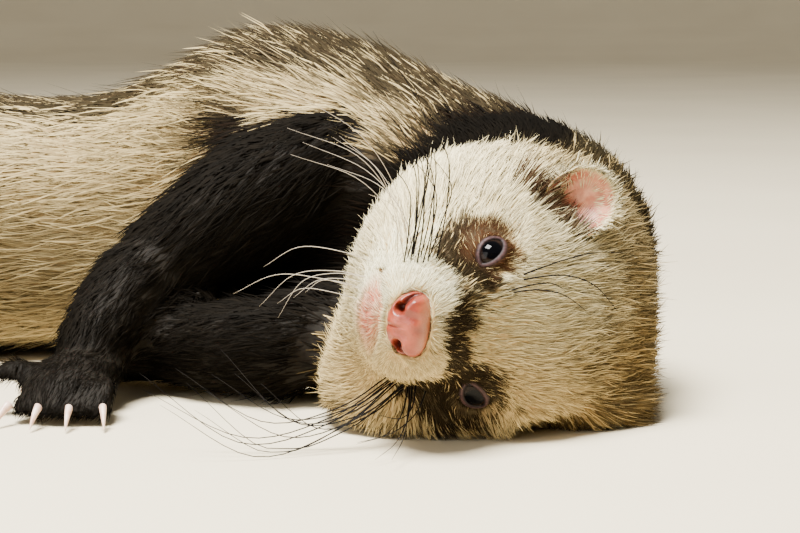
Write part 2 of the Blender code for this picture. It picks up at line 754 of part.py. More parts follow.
def make_foot(name, kind, root, heading, toe_turns):
    """A sole with five toes in a fan. Returns the foot and where each claw starts."""
    forward = unit(heading)
    across = unit(np.cross(forward, UP))
    length, half, height = SOLE[kind]
    root = np.asarray(root, float)
    path = [root - forward * SOLE_HEEL, root + forward * length / 2, root + forward * length]
    path[2] = path[2] - UP * max(0.0, path[2][2] - SOLE_END_RISE)
    radii = [half * share for share in SOLE_WIDTHS]
    foot = tube(name, path, radii, SOLE_SIDES, SOLE_STEP, height / half, SOLE_SOFT)
    toes, claws = [], []
    for i, (degrees, lift) in enumerate(toe_turns):
        place = i - (len(toe_turns) - 1) / 2
        turn = math.radians(degrees)
        ahead = unit(forward * math.cos(turn) + across * math.sin(turn))
        set_back = TOE_SET_BACK * place * place + TOE_SINK
        start = path[2] + across * TOE_SPACING * place - forward * set_back
        knuckle = start + ahead * TOE_LENGTH * TOE_KNUCKLE + UP * TOE_KNUCKLE_RISE * (1 + lift)
        tip = start + ahead * TOE_LENGTH - UP * (start[2] - TOE_TIP_RISE - lift)
        radii = (TOE_RADIUS * TOE_ROOT, TOE_RADIUS, TOE_RADIUS * TOE_END)
        bends = (start, knuckle, tip)
        toe = tube(f"{name}.toe", bends, radii, TOE_SIDES, TOE_STEP, TOE_SQUASH, TOE_SOFT, "far")
        toes.append(helper(toe))
        claws.append((tip, unit(ahead * (1, 1, 0)), lift))
    combine(foot, toes, "UNION")
    return foot, claws


def make_claw(name, tip, ahead, lift):
    """A curved, tapered claw from the rounded end of a toe down towards the floor."""
    start = tip + unit(ahead + UP * CLAW_TILT) * (TOE_RADIUS * TOE_END + GAP)
    bend = start + ahead * CLAW_LENGTH * CLAW_BEND + UP * CLAW_BEND_RISE
    end = start + ahead * CLAW_LENGTH
    end = end - UP * (end[2] - CLAW_DROP - lift)
    return tube(name, (start, bend, end), CLAW_RADII, CLAW_SIDES, CLAW_STEP, CLAW_DEPTH, ends="far")


def make_leg(name, parts, neighbours):
    """Upper leg, lower leg, foot and claws, each cut clear of what it grows from."""
    kind = name.split("_")[0]
    made = {}
    claws = {}
    for part in ("upper", "lower"):
        path = [point for point, _ in parts[part]]
        radii = [radius for _, radius in parts[part]]
        soft = soft_height(min(radii))
        made[f"{name}_{part}"] = tube(f"{name}_{part}", path, radii, LEG_SIDES, LEG_STEP, 1.0, soft)
    root, heading = parts["paw"]
    foot, places = make_foot(f"{name}_foot", kind, root, heading, parts["toes"])
    made[f"{name}_foot"] = foot
    order = list(made.values())
    for i, piece in enumerate(order):
        cut_clear(piece, neighbours + order[:i])
    for i, place in enumerate(places):
        claw = f"{name}_claw_{i + 1}"
        claws[claw] = make_claw(claw, *place)
    return made, claws


def place_on_origin(nodes):
    """Moves everything so that the origin is under the middle of the whole."""
    corners = np.array([vert.co for node in nodes for vert in node.data.vertices])
    middle = (corners.min(axis=0) + corners.max(axis=0)) / 2
    middle[2] = corners[:, 2].min()
    for node in nodes:
        for vert in node.data.vertices:
            vert.co -= Vector(middle)


def main():
    for obj in list(bpy.data.objects):
        bpy.data.objects.remove(obj)
    stations = body_stations()
    last = stations[-1].copy()
    last[0:3] = TAIL_TIP - unit(TAIL_TIP - last[0:3]) * TAIL_END
    last[12:16] = TAIL_END_REACH
    stations = np.vstack([stations, last])
    trunk = make_trunk(stations)
    nose = make_nose()
    eyes = {name: make_eye(name, side) for name, side in (("eye_right", 1), ("eye_left", -1))}
    ears = {
        "ear_right": make_ear("ear_right", [trunk["head"], trunk["neck"]]),
        "ear_left": make_ear("ear_left", []),
    }
    finish_head(trunk["head"], [nose, ears["ear_left"]])
    legs, claws = {}, {}
    near = {
        "foreleg": [trunk["chest"], trunk["neck"], trunk["belly"], trunk["head"]],
        "hindleg": [trunk["rump"], trunk["belly"]],
    }
    for name in LEGS:
        kind = name.split("_")[0]
        others = [leg for leg_name, leg in legs.items() if leg_name.startswith(kind)]
        pieces, points = make_leg(name, LEGS[name], near[kind] + others)
        legs.update(pieces)
        claws.update(points)
    coats = {
        "head": "pale_fur", "neck": "brown_fur", "chest": "cream_fur", "belly": "cream_fur",
        "rump": "brown_fur", "tail_root": "sable_fur", "tail_middle": "sable_fur",
        "tail_tip": "sable_fur",
    }
    for name, piece in trunk.items():
        paint(piece, coats[name])
    for piece in legs.values():
        paint(piece, "sable_fur")
    for piece in claws.values():
        paint(piece, "claw_horn")
    for piece in eyes.values():
        paint(piece, "eye_dark")
    for piece in ears.values():
        paint(piece, "ear_skin")
    paint(nose, "nose_skin")
    for obj in list(bpy.data.objects):
        if obj.hide_render:
            bpy.data.objects.remove(obj)
    place_on_origin(list(bpy.data.objects))


main()
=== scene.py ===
"""Looks of a life-size sable ferret that lies curled on its left side with its head on the floor.

Places and lengths are in millimetres in the model's own frame until a mesh is made.
A point of the head is written (f, r, u): forward to the nose, to the animal's right, up to its crown.
"""

import math

import bmesh
import bpy
import numpy as np
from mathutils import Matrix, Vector
from mathutils.bvhtree import BVHTree


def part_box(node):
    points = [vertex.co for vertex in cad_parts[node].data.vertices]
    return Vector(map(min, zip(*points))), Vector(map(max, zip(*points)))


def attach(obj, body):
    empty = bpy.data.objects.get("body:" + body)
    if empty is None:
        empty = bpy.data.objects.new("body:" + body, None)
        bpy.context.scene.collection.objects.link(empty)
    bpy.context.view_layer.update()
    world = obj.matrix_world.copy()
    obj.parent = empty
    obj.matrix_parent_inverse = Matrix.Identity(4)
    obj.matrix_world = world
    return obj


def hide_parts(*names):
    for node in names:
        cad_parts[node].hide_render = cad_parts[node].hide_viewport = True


MM = 0.001
SEED = 20
TINY = 1e-12
UP = np.array((0.0, 0.0, 1.0))
# The animal's right and its left
BOTH_SIDES = (1, -1)

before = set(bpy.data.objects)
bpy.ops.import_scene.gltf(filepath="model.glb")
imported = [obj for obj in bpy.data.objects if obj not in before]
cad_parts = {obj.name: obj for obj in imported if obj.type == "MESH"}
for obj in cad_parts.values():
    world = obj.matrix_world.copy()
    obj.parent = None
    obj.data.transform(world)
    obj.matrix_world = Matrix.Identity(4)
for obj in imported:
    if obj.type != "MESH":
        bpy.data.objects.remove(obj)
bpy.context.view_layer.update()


# Vectors and the frame of the head


def unit(vectors):
    """One vector or a row of vectors, each made one long."""
    vectors = np.asarray(vectors, float)
    return vectors / np.maximum(np.linalg.norm(vectors, axis=-1, keepdims=True), TINY)


def middle_of(node):
    """The middle of a solid's box."""
    low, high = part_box(node)
    return np.array((low + high) / 2) / MM


def smooth_step(low, high, values):
    """Nought up to low and one from high on, with a soft way between. High may be the smaller number."""
    share = np.clip((np.asarray(values, float) - low) / (high - low), 0, 1)
    return share * share * (3 - 2 * share)


def full_turn(sides):
    """The angles at which equally spaced sides of a ring lie."""
    return np.arange(sides) / sides * 2 * math.pi


def from_path(points, path):
    """Each point's distance from a bent line, and how far along it its nearest place is, from 0 to 1."""
    path = np.asarray(path, float)
    nearest = np.full(len(points), np.inf)
    share = np.zeros(len(points))
    for index, (start, end) in enumerate(zip(path[:-1], path[1:])):
        way = end - start
        part = np.clip((points - start) @ way / (way @ way), 0, 1)
        distance = np.linalg.norm(points - start - part[:, None] * way, axis=1)
        share = np.where(distance < nearest, (index + part) / (len(path) - 1), share)
        nearest = np.minimum(distance, nearest)
    return nearest, share


def turned(first, second, angle):
    """Directions turned from the first towards the second, each by its angle."""
    return first * np.cos(angle)[:, None] + second * np.sin(angle)[:, None]


def hump(distance, wide, power=2):
    """One at no distance, falling to nothing past a width."""
    return np.exp(-(distance / wide) ** power)


HEAD_YAW = math.radians(20)
HEAD_LIFT = 0.0436
EYES_AT = (28.6, 0.0, 4.6)
EYE_OUT = 12.0

FORWARD = unit((-math.sin(HEAD_YAW), -math.cos(HEAD_YAW), HEAD_LIFT))
RIGHT = unit(middle_of("eye_right") - middle_of("eye_left"))
CROWN = np.cross(RIGHT, FORWARD)
HEAD_AXES = np.array((FORWARD, RIGHT, CROWN))
EYES_MIDDLE = (middle_of("eye_right") + middle_of("eye_left")) / 2
HEAD_ORIGIN = EYES_MIDDLE - np.array(EYES_AT) @ HEAD_AXES


def from_head(point):
    """A point (f, r, u) of the head, or a row of them, in the model's frame."""
    return np.asarray(point, float) @ HEAD_AXES + HEAD_ORIGIN


def head_direction(direction):
    """A direction (f, r, u) of the head in the model's frame."""
    return unit(np.asarray(direction, float) @ HEAD_AXES)


def to_head(points):
    """Points of the model's frame as (f, r, u) of the head."""
    return (np.asarray(points, float) - HEAD_ORIGIN) @ HEAD_AXES.T


def mirrored(point, side):
    """A head point given for the animal's right, on the side that side says: 1 right, -1 left."""
    return np.array((point[0], point[1] * side, point[2]), float)


# The eyes: the opening of the lids is an almond on the eyeball, long axis from the nose side outwards

EYE_RADIUS = 4.3
EYE_LOOK = (0.79, 0.54, 0.28)
OPENING_AXIS = (-0.60, 0.73, 0.33)
OPENING_LONG = 3.2
OPENING_UPPER = 1.6
OPENING_LOWER = 1.9
OPENING_MIDDLE = 0.2
# How far past the opening no hair grows, and how far from an eye's centre a point can belong to it
LID_BARE = 0.55
BY_EYE = 9.0


def eye_frame(side):
    """An eye's centre, where it looks, the long axis of its opening and the way to its upper lid."""
    centre = from_head(mirrored((EYES_AT[0], EYE_OUT, EYES_AT[2]), side))
    look = head_direction(mirrored(EYE_LOOK, side))
    axis = head_direction(mirrored(OPENING_AXIS, side))
    axis = unit(axis - look * (axis @ look))
    up = np.cross(axis, look) * side
    return centre, look, axis, up


def on_eyeball(points, side):
    """Places seen from an eye's centre, as distances along the eyeball: along the opening and across it."""
    centre, look, axis, up = eye_frame(side)
    way = unit(points - centre)
    angle = np.arccos(np.clip(way @ look, -1, 1))
    flat = way - np.outer(way @ look, look)
    flat = unit(flat) * (angle * EYE_RADIUS)[:, None]
    return flat @ axis, flat @ up, np.linalg.norm(points - centre, axis=1)


def past_opening(points, side):
    """How far each point lies outside the edge of the lids' opening, and how far from the eye's centre."""
    x, y, distance = on_eyeball(points, side)
    share = np.hypot(x / OPENING_LONG, y / np.where(y > 0, OPENING_UPPER, OPENING_LOWER))
    return np.hypot(x, y) * (1 - 1 / np.maximum(share, OPENING_MIDDLE)), distance


# Meshes


def new_object(name, points, faces):
    """A mesh object from points in millimetres and rows of equally many corners, or a list of such rows."""
    groups = faces if isinstance(faces, list) else [faces]
    groups = [np.asarray(group, np.int32) for group in groups if len(group)]
    mesh = bpy.data.meshes.new(name)
    mesh.vertices.add(len(points))
    mesh.vertices.foreach_set("co", (np.asarray(points) * MM).astype(np.float32).ravel())
    corners = np.concatenate([group.ravel() for group in groups])
    sizes = np.concatenate([np.full(len(group), group.shape[1], np.int32) for group in groups])
    mesh.loops.add(len(corners))
    mesh.loops.foreach_set("vertex_index", corners)
    mesh.polygons.add(len(sizes))
    mesh.polygons.foreach_set("loop_start", np.concatenate(([0], np.cumsum(sizes)[:-1])).astype(np.int32))
    mesh.polygons.foreach_set("use_smooth", np.ones(len(sizes), bool))
    mesh.update(calc_edges=True)
    mesh.validate()
    made = bpy.data.objects.new(name, mesh)
    bpy.context.scene.collection.objects.link(made)
    return made


def give(piece, material, replaced=()):
    """A piece gets its material, rides on the one body and stands for its solids."""
    piece.data.materials.clear()
    piece.data.materials.append(material)
    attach(piece, "root")
    if replaced:
        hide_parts(*replaced)
    return piece


def mark(piece, **values):
    """Puts named numbers on the vertices for the material to read, with nought where none is given."""
    for name, numbers in values.items():
        padded = np.zeros(len(piece.data.vertices), np.float32)
        padded[:len(numbers)] = numbers
        piece.data.attributes.new(name, "FLOAT", "POINT").data.foreach_set("value", padded)


def read(rows, field, columns, kind):
    """One field of all rows of a mesh, in that many columns."""
    values = np.zeros(len(rows) * columns, kind)
    rows.foreach_get(field, values)
    return values.reshape(-1, columns)


JOIN_WITHIN = 1e-6


def solid_arrays(node):
    """A solid's points and triangles, with the corners that its file splits joined again."""
    form = bmesh.new()
    form.from_mesh(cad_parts[node].data)
    bmesh.ops.remove_doubles(form, verts=form.verts, dist=JOIN_WITHIN)
    joined = bpy.data.meshes.new("joined")
    form.to_mesh(joined)
    form.free()
    joined.calc_loop_triangles()
    points = read(joined.vertices, "co", 3, np.float32).astype(float) / MM
    corners = read(joined.loop_triangles, "vertices", 3, np.int32)
    bpy.data.meshes.remove(joined)
    return points, corners


def vertex_normals(points, corners):
    """Normals weighted by area, from triangles or quads."""
    across = points[corners[:, -1]] - points[corners[:, 1]]
    along = points[corners[:, 2]] - points[corners[:, 0]]
    face = np.cross(along, across)
    if corners.shape[1] == 3:
        face = np.cross(points[corners[:, 1]] - points[corners[:, 0]], along)
    total = np.zeros_like(points)
    for column in range(corners.shape[1]):
        for axis in range(3):
            total[:, axis] += np.bincount(corners[:, column], face[:, axis], len(points))
    return unit(total)


def halved(quads):
    """Each quad as two triangles."""
    return np.concatenate((quads[:, (0, 1, 2)], quads[:, (0, 2, 3)]))


def edges_of(corners):
    """Every edge of a mesh once, as a pair of vertices."""
    count = corners.shape[1]
    pairs = np.concatenate([corners[:, (k, (k + 1) % count)] for k in range(count)])
    return np.unique(np.sort(pairs, axis=1), axis=0)


EVEN_SHARE = 0.5


def blurred(values, edges, rounds):
    """Numbers or vectors on vertices, evened out with their neighbours' a number of rounds."""
    values = np.array(values, float)
    flat = values.reshape(len(values), -1)
    degree = np.bincount(edges.ravel(), minlength=len(flat))[:, None]
    for _ in range(rounds):
        total = np.empty_like(flat)
        for axis in range(flat.shape[1]):
            total[:, axis] = np.bincount(edges[:, 0], flat[edges[:, 1], axis], len(flat))
            total[:, axis] += np.bincount(edges[:, 1], flat[edges[:, 0], axis], len(flat))
        flat += EVEN_SHARE * (total / np.maximum(degree, 1) - flat)
    return flat.reshape(values.shape)


def revoxelled(points, corners, voxel):
    """One closed skin of quads round meshes that overlap."""
    lump = new_object("lump", points, corners)
    change = lump.modifiers.new("even", "REMESH")
    change.mode = "VOXEL"
    change.voxel_size = voxel * MM
    bpy.context.view_layer.update()
    made = bpy.data.meshes.new_from_object(lump.evaluated_get(bpy.context.evaluated_depsgraph_get()))
    bpy.data.objects.remove(lump)
    quads = read(made.loops, "vertex_index", 1, np.int32).reshape(-1, 4)
    return read(made.vertices, "co", 3, np.float32).astype(float) / MM, quads


# The skin: one closed surface inside the flesh solids, by the coat's depth

EARS = ("ear_right", "ear_left")
# Solids that the skin closes over, and how far each is grown first
CORES = {"nose": -0.9, "ear_left": 0.4, "eye_right": 0.4, "eye_left": 0.4}
NOT_FLESH = ("eye_", "ear_", "nose")
FLESH = sorted(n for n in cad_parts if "claw" not in n and not n.startswith(NOT_FLESH))
# The lens that swells the face before the skin is made: its middle, its strength and its distances
LENS_CENTRE = from_head((31, 0, 0))
LENS_POWER = 3.0
LENS_REACH = 34.0
LENS_DISTANCES = np.linspace(0, 500, 5001)
SKIN_VOXEL = 1.7
SEAM_FILL = 0.28
FIELD_ROUNDS = 24


def through_lens(points, back=False):
    """Space swollen round the face, where the skin needs small faces, or the same undone."""
    away = points - LENS_CENTRE
    distance = np.linalg.norm(away, axis=1)
    swollen = LENS_DISTANCES + LENS_POWER * LENS_REACH * np.tanh(LENS_DISTANCES / LENS_REACH)
    table = (swollen, LENS_DISTANCES) if back else (LENS_DISTANCES, swollen)
    return LENS_CENTRE + away * (np.interp(distance, *table) / np.maximum(distance, TINY))[:, None]


def flesh_arrays():
    """All flesh solids as one list of triangles, each grown a little so that they overlap."""
    all_points, all_corners, owners, count = [], [], [], 0
    for node in FLESH + list(CORES):
        points, corners = solid_arrays(node)
        grown = points + CORES.get(node, SEAM_FILL) * vertex_normals(points, corners)
        all_points.append(grown)
        all_corners.append(corners + count)
        owners.append(np.full(len(corners), FLESH.index("head" if node in CORES else node)))
        count += len(points)
    return np.concatenate(all_points), np.concatenate(all_corners), np.concatenate(owners)


# Coat length in the head by distance forward, and elsewhere by the solid's name
HEAD_COAT_AT = (-8, 2, 12, 24, 34, 42, 50)
HEAD_COAT_LENGTH = (9.0, 8.2, 7.2, 5.8, 4.4, 3.2, 1.8)
COAT_LENGTH = {
    "neck": 9.0, "chest": 11.5, "belly": 12.5, "rump": 13.0,
    "tail_root": 15.0, "tail_middle": 15.0, "tail_tip": 10.0,
    "upper": 10.0, "lower": 6.5, "foot": 3.4,
}
LID_HAIR = 1.7
# The skin lies deep in the coat by a share of its length, and less in thin parts
DEPTH_SHARE = 0.33
DEPTH_MOST = {"tail_tip": 2.6, "foot": 1.0, "lower": 2.0}
DEPTH_MOST_ELSEWHERE = 9.0
LID_DEPTH = 0.35
PRESSED_DEPTH = 0.2
NOSE_DEPTH = 0.1
# How near an eye, the pressed ear and the nose the skin lies that shallow, and how far off it no longer does
NEAR_EYE = (6.0, 12.0)
NEAR_EAR = (2.0, 8.0)
NEAR_NOSE = (8.0, 13.0)
# Rounds of evening out: far from the face, in the face, and of the way inwards
CALM_FROM = (34, 60)
CALM_ROUNDS = 10
FACE_ROUNDS = 2
INWARD_ROUNDS = 3


def by_name(table, node, otherwise):
    """A table's value for a node's name, or for the last word of it."""
    return table.get(node, table.get(node.rsplit("_", 1)[-1], otherwise))


CURVE_STEPS = 24


def curve_through(stations, steps=CURVE_STEPS):
    """A smooth line through the stations, and the direction at each point of it."""
    stations = np.asarray(stations, float)
    ends = np.vstack((2 * stations[0] - stations[1], stations, 2 * stations[-1] - stations[-2]))
    line = []
    for a, b, c, d in zip(ends[:-3], ends[1:-2], ends[2:-1], ends[3:]):
        for t in np.arange(steps) / steps:
            line.append(0.5 * (2 * b + (c - a) * t + (2 * a - 5 * b + 4 * c - d) * t * t
                               + (3 * b - a - 3 * c + d) * t ** 3))
    line.append(ends[-2])
    line = np.array(line)
    return line, unit(np.gradient(line, axis=0))


def centroid(node):
    """The mean of a solid's points."""
    return solid_arrays(node)[0].mean(axis=0)


SPINE_NODES = ("head", "neck", "chest", "belly", "rump", "tail_root", "tail_middle", "tail_tip")
LIMBS = ("foreleg_right", "foreleg_left", "hindleg_right", "hindleg_left")
LIMB_PARTS = ("upper", "lower", "foot")
CLAWS = range(1, 6)
AT_ONCE = 20000


def nearest_on(line, points):
    """For each point, the index of the nearest point of the line."""
    found = np.empty(len(points), int)
    for start in range(0, len(points), AT_ONCE):
        part = points[start:start + AT_ONCE]
        found[start:start + AT_ONCE] = np.argmin(((part[:, None] - line[None]) ** 2).sum(axis=2), axis=1)
    return found


def lie_of_coat(points, labels):
    """The way the coat lies at each point before it is evened out: away from the nose, to tail and toes."""
    lie = np.zeros_like(points)
    spine, spine_way = curve_through([centroid(node) for node in SPINE_NODES])
    names = np.array(FLESH)[labels]
    on_spine = np.isin(names, SPINE_NODES)
    lie[on_spine] = spine_way[nearest_on(spine, points[on_spine])]
    for limb in LIMBS:
        stations = [centroid(f"{limb}_{part}") for part in LIMB_PARTS]
        claws = [middle_of(f"{limb}_claw_{k}") for k in CLAWS]
        line, way = curve_through(stations + [np.mean(claws, axis=0)])
        here = np.char.startswith(names, limb)
        lie[here] = way[nearest_on(line, points[here])]
    lie[names == "head"] = -FORWARD
    return lie


EYE_CLEAR = (4.5, 8.5)
EYE_PUSH = 1.5


def round_the_eyes(points, lie):
    """Hair by an eye lies away from it."""
    for side in BOTH_SIDES:
        away = points - eye_frame(side)[0]
        push = EYE_PUSH * (1 - smooth_step(*EYE_CLEAR, np.linalg.norm(away, axis=1)))
        lie = lie + unit(away) * push[:, None]
    return lie


def along_skin(vectors, normals):
    """Vectors laid flat on the skin and made one long."""
    return unit(vectors - normals * (vectors * normals).sum(axis=1, keepdims=True))


# Distances of the skin from an eye's centre inside and outside the opening, and where it changes and lets go
LID_SKIN_UNDER = 3.6
LID_SKIN_OVER = 4.62
LID_SKIN_RISE = (-0.1, 0.6)
LID_SKIN_FREE = (1.2, 3.2)


def round_eyeballs(skin):
    """The skin passes close over the eyeball beside the opening, and under it inside the opening."""
    for side in BOTH_SIDES:
        centre = eye_frame(side)[0]
        out, distance = past_opening(skin, side)
        target = LID_SKIN_UNDER + (LID_SKIN_OVER - LID_SKIN_UNDER) * smooth_step(*LID_SKIN_RISE, out)
        hold = (1 - smooth_step(*LID_SKIN_FREE, out)) * (distance < BY_EYE)
        skin = centre + (skin - centre) * (1 + hold * (target / np.maximum(distance, 1) - 1))[:, None]
    return skin


NOSE_MIDDLE = (48.5, 0.4, -3.0)
NOSE_SEAT = 46.0
NOSE_HIDES = (0.82, 1.0)


def behind_nose(skin):
    """The skin lies well behind the nose pad, and steps up to its edge all round."""
    head = to_head(skin)
    share = np.linalg.norm((head[:, 1:] - NOSE_AT) / (NOSE_WIDE, NOSE_HIGH), axis=1)
    hidden = 1 - smooth_step(*NOSE_HIDES, share)
    head[:, 0] += hidden * np.minimum(NOSE_SEAT - head[:, 0], 0)
    return from_head(head)


def drawn_to(wanted, values, near, distance):
    """Values that become the wanted one where the distance is short."""
    return values + (wanted - values) * (1 - smooth_step(*near, distance))


def make_skin():
    """The skin's points, quads, normals and what grows on it at each point."""
    points, corners, owners = flesh_arrays()
    tree = BVHTree.FromPolygons(points.tolist(), corners.tolist())
    warped, quads = revoxelled(through_lens(points), corners, SKIN_VOXEL)
    skin = through_lens(warped, back=True)
    edges = edges_of(quads)
    labels = np.array([owners[tree.find_nearest(point)[2]] for point in skin.tolist()])

    head = to_head(skin)
    length = np.array([by_name(COAT_LENGTH, n, 0.0) for n in FLESH])[labels]
    head_length = np.interp(head[:, 0], HEAD_COAT_AT, HEAD_COAT_LENGTH)
    length = np.where(labels == FLESH.index("head"), head_length, length)
    most = np.array([by_name(DEPTH_MOST, n, DEPTH_MOST_ELSEWHERE) for n in FLESH])[labels]
    depth = np.minimum(DEPTH_SHARE * length, most) + SEAM_FILL
    length = blurred(length, edges, FIELD_ROUNDS)
    depth = blurred(depth, edges, FIELD_ROUNDS)
    to_eye = np.min([np.linalg.norm(skin - eye_frame(side)[0], axis=1) for side in BOTH_SIDES], axis=0)
    pressed = BVHTree.FromPolygons(*(part.tolist() for part in solid_arrays("ear_left")))
    to_ear = np.array([pressed.find_nearest(point)[3] for point in skin.tolist()])
    to_nose = np.linalg.norm(head - NOSE_MIDDLE, axis=1)
    length = drawn_to(LID_HAIR, length, NEAR_EYE, to_eye)
    depth = drawn_to(LID_DEPTH + SEAM_FILL, depth, NEAR_EYE, to_eye)
    depth = drawn_to(SEAM_FILL + PRESSED_DEPTH, depth, NEAR_EAR, to_ear)
    depth = drawn_to(SEAM_FILL + NOSE_DEPTH, depth, NEAR_NOSE, to_nose)

    calm = smooth_step(*CALM_FROM, np.linalg.norm(skin - LENS_CENTRE, axis=1))
    settled = blurred(skin, edges, CALM_ROUNDS)
    lightly = blurred(skin, edges, FACE_ROUNDS)
    skin = lightly + (settled - lightly) * calm[:, None]
    normals = vertex_normals(skin, quads)
    skin = skin + blurred(-normals * depth[:, None], edges, INWARD_ROUNDS)
    skin = round_eyeballs(blurred(skin, edges, 1))
    mouth = MOUTH_DEEP * by_mouth(to_head(skin))
    skin = behind_nose(skin - vertex_normals(skin, quads) * mouth[:, None])
    normals = vertex_normals(skin, quads)

    lie = along_skin(lie_of_coat(skin, labels), normals)
    lie = along_skin(blurred(lie, edges, FIELD_ROUNDS), normals)
    lie = along_skin(round_the_eyes(skin, lie), normals)
    lie = blurred(lie, edges, FACE_ROUNDS)
    return {"points": skin, "quads": quads, "normals": normals, "labels": labels, "length": length,
            "lie": lie}


# Markings, the same for skin and coat


RIPPLE_SEED = 100
RIPPLE_WAVES = 6
RIPPLE_SIZES = (0.6, 1.5)
RIPPLE_FULL = 2.5


def ripple(points, size, kind):
    """Smooth uneven numbers from about -1 to 1, that change over a distance of about size."""
    random = np.random.default_rng(RIPPLE_SEED + kind)
    total = np.zeros(len(points))
    for _ in range(RIPPLE_WAVES):
        way = unit(random.standard_normal(3)) * 2 * math.pi / size * random.uniform(*RIPPLE_SIZES)
        total += np.sin(points @ way + random.uniform(0, 2 * math.pi))
    return total / RIPPLE_FULL


def blob(head, centre, radii, soft):
    """One at the centre of a patch of the head, falling to nothing past its radii."""
    reach = np.linalg.norm((head - np.asarray(centre)) / np.asarray(radii), axis=1)
    return 1 - smooth_step(1 - soft, 1 + soft, reach)


MOUTH_HALF = (
    (49.0, 0.0, -9.1), (48.6, 2.4, -9.2), (47.6, 4.8, -9.9), (45.6, 7.2, -11.2),
    (42.4, 9.6, -12.3), (38.0, 12.0, -12.8), (33.8, 14.2, -12.2),
)
MOUTH_PATH = tuple(tuple(mirrored(p, -1)) for p in reversed(MOUTH_HALF)) + MOUTH_HALF[1:]
MOUTH_WIDE = 0.75
MOUTH_DEEP = 0.9

# Patches of the head: centre, radii, and how soft the edge is. The one round an eye is on both sides.
EYE_PATCH = ((33.5, 13.5, 3.0), (10.0, 8.4, 8.7), 0.2)
# A dark patch on the left of the muzzle, which lies towards the floor, is painted shade
LEFT_SHADE_PATCH = ((37.5, -15.0, -3.0), (7.6, 7.0, 7.6), 0.3)
WHITE_CORNER = ((46.6, 6.8, 1.2), (3.6, 3.2, 2.6), 0.25)
# A spot by the right eye's inner corner where most tufts are pale instead of dark
PALE_SPOT_BY_EYE = ((33.2, 9.6, 9.2), (2.2, 1.4, 1.9), 0.25)
RUST_RING = ((30.5, 14.5, 5.5), (6.0, 5.5, 6.0), 0.5)
LIP_PATCH = ((46.6, 0.8, -12.3), (4.2, 6.2, 3.4), 0.6)
MUZZLE_WHITE = ((42, 12, -6), (12, 10, 13), 0.6)
# Bands of the head: the path, how wide, and where across it the band fades
BRIDGE_PATH = ((39.5, 7.5, 7.5), (43.0, 3.8, 5.8), (45.8, 0.6, 4.4), (45.0, -2.8, 4.6), (41.5, -6.8, 5.6))
BRIDGE_WIDE = 3.9
BRIDGE_FADE = (0.45, 1.4)
EAR_FRINGE = ((18.5, 26.5, 6.0), (16.0, 20.0, 15.5))
EAR_FRINGE_WIDE = 4.0
EAR_FRINGE_FADE = (0.6, 1.2)
MASK_UNEVEN = 1.1
MASK_RIPPLE = 6.0
CROWN_UNEVEN = 3.0
NAPE_UNEVEN = 2.0
# How much of the dark the pale spot by the right eye takes away
PALE_SPOT_SHARE = 0.9
# Where each kind of hair begins and is full: forward for back, to the right for low, and up for high
CROWN_BACK = (21, -2)
CROWN_HIGH = (-16, 12)
NAPE_BACK = (5, -8)
# These four place painted shade: darker and warmer hair on the head's left side, which lies towards the
# floor
SHADE_SIDE_BACK = (22, 4)
SHADE_SIDE_LOW = (2, -17)
FLOOR_SHADE_LOW = (-14, -25)
UNDER_SHADE_LOW = (8, -14)
BROW_BACK = (32, 16)
BROW_HIGH = (2, 14)
# The share of dark tufts in each place; the last two places are painted shade on the head's left side, which
# lies towards the floor
DARK_SHARES = {"mask": 0.95, "fringe": 0.9, "nape": 0.6, "crown": 0.5, "side": 0.95, "lowest": 0.6}
# How warm pale hair is, and how many pale tufts have dark tips, in the whole head and more or less in places
HEAD_WARM = 0.35
CROWN_WARMER = 0.5
# Warmer hair low on the left side is painted shade towards the floor
UNDER_SHADE_WARMER = 0.5
MUZZLE_COOLER = 0.6
MASK_WARM = 0.9
HEAD_TIPS = 0.06
CROWN_TIPS = 0.6
BROW_TIPS = 0.25
# How dark a dark tuft is down to its root
FACE_SOLID = 0.62
MASK_SOLID = 0.31
NAPE_SOLID = 0.2
CROWN_PALER = 0.2
BODY_SOLID = 0.99
RUST_MOST = 0.45
FRINGE_RUST = 0.3
LIP_THIN = 0.75
MOUTH_CLEAR = (0.3, 0.7)


def by_mouth(head):
    """One on the line of the mouth, falling to nothing beside it."""
    return hump(from_path(head, MOUTH_PATH)[0], MOUTH_WIDE)


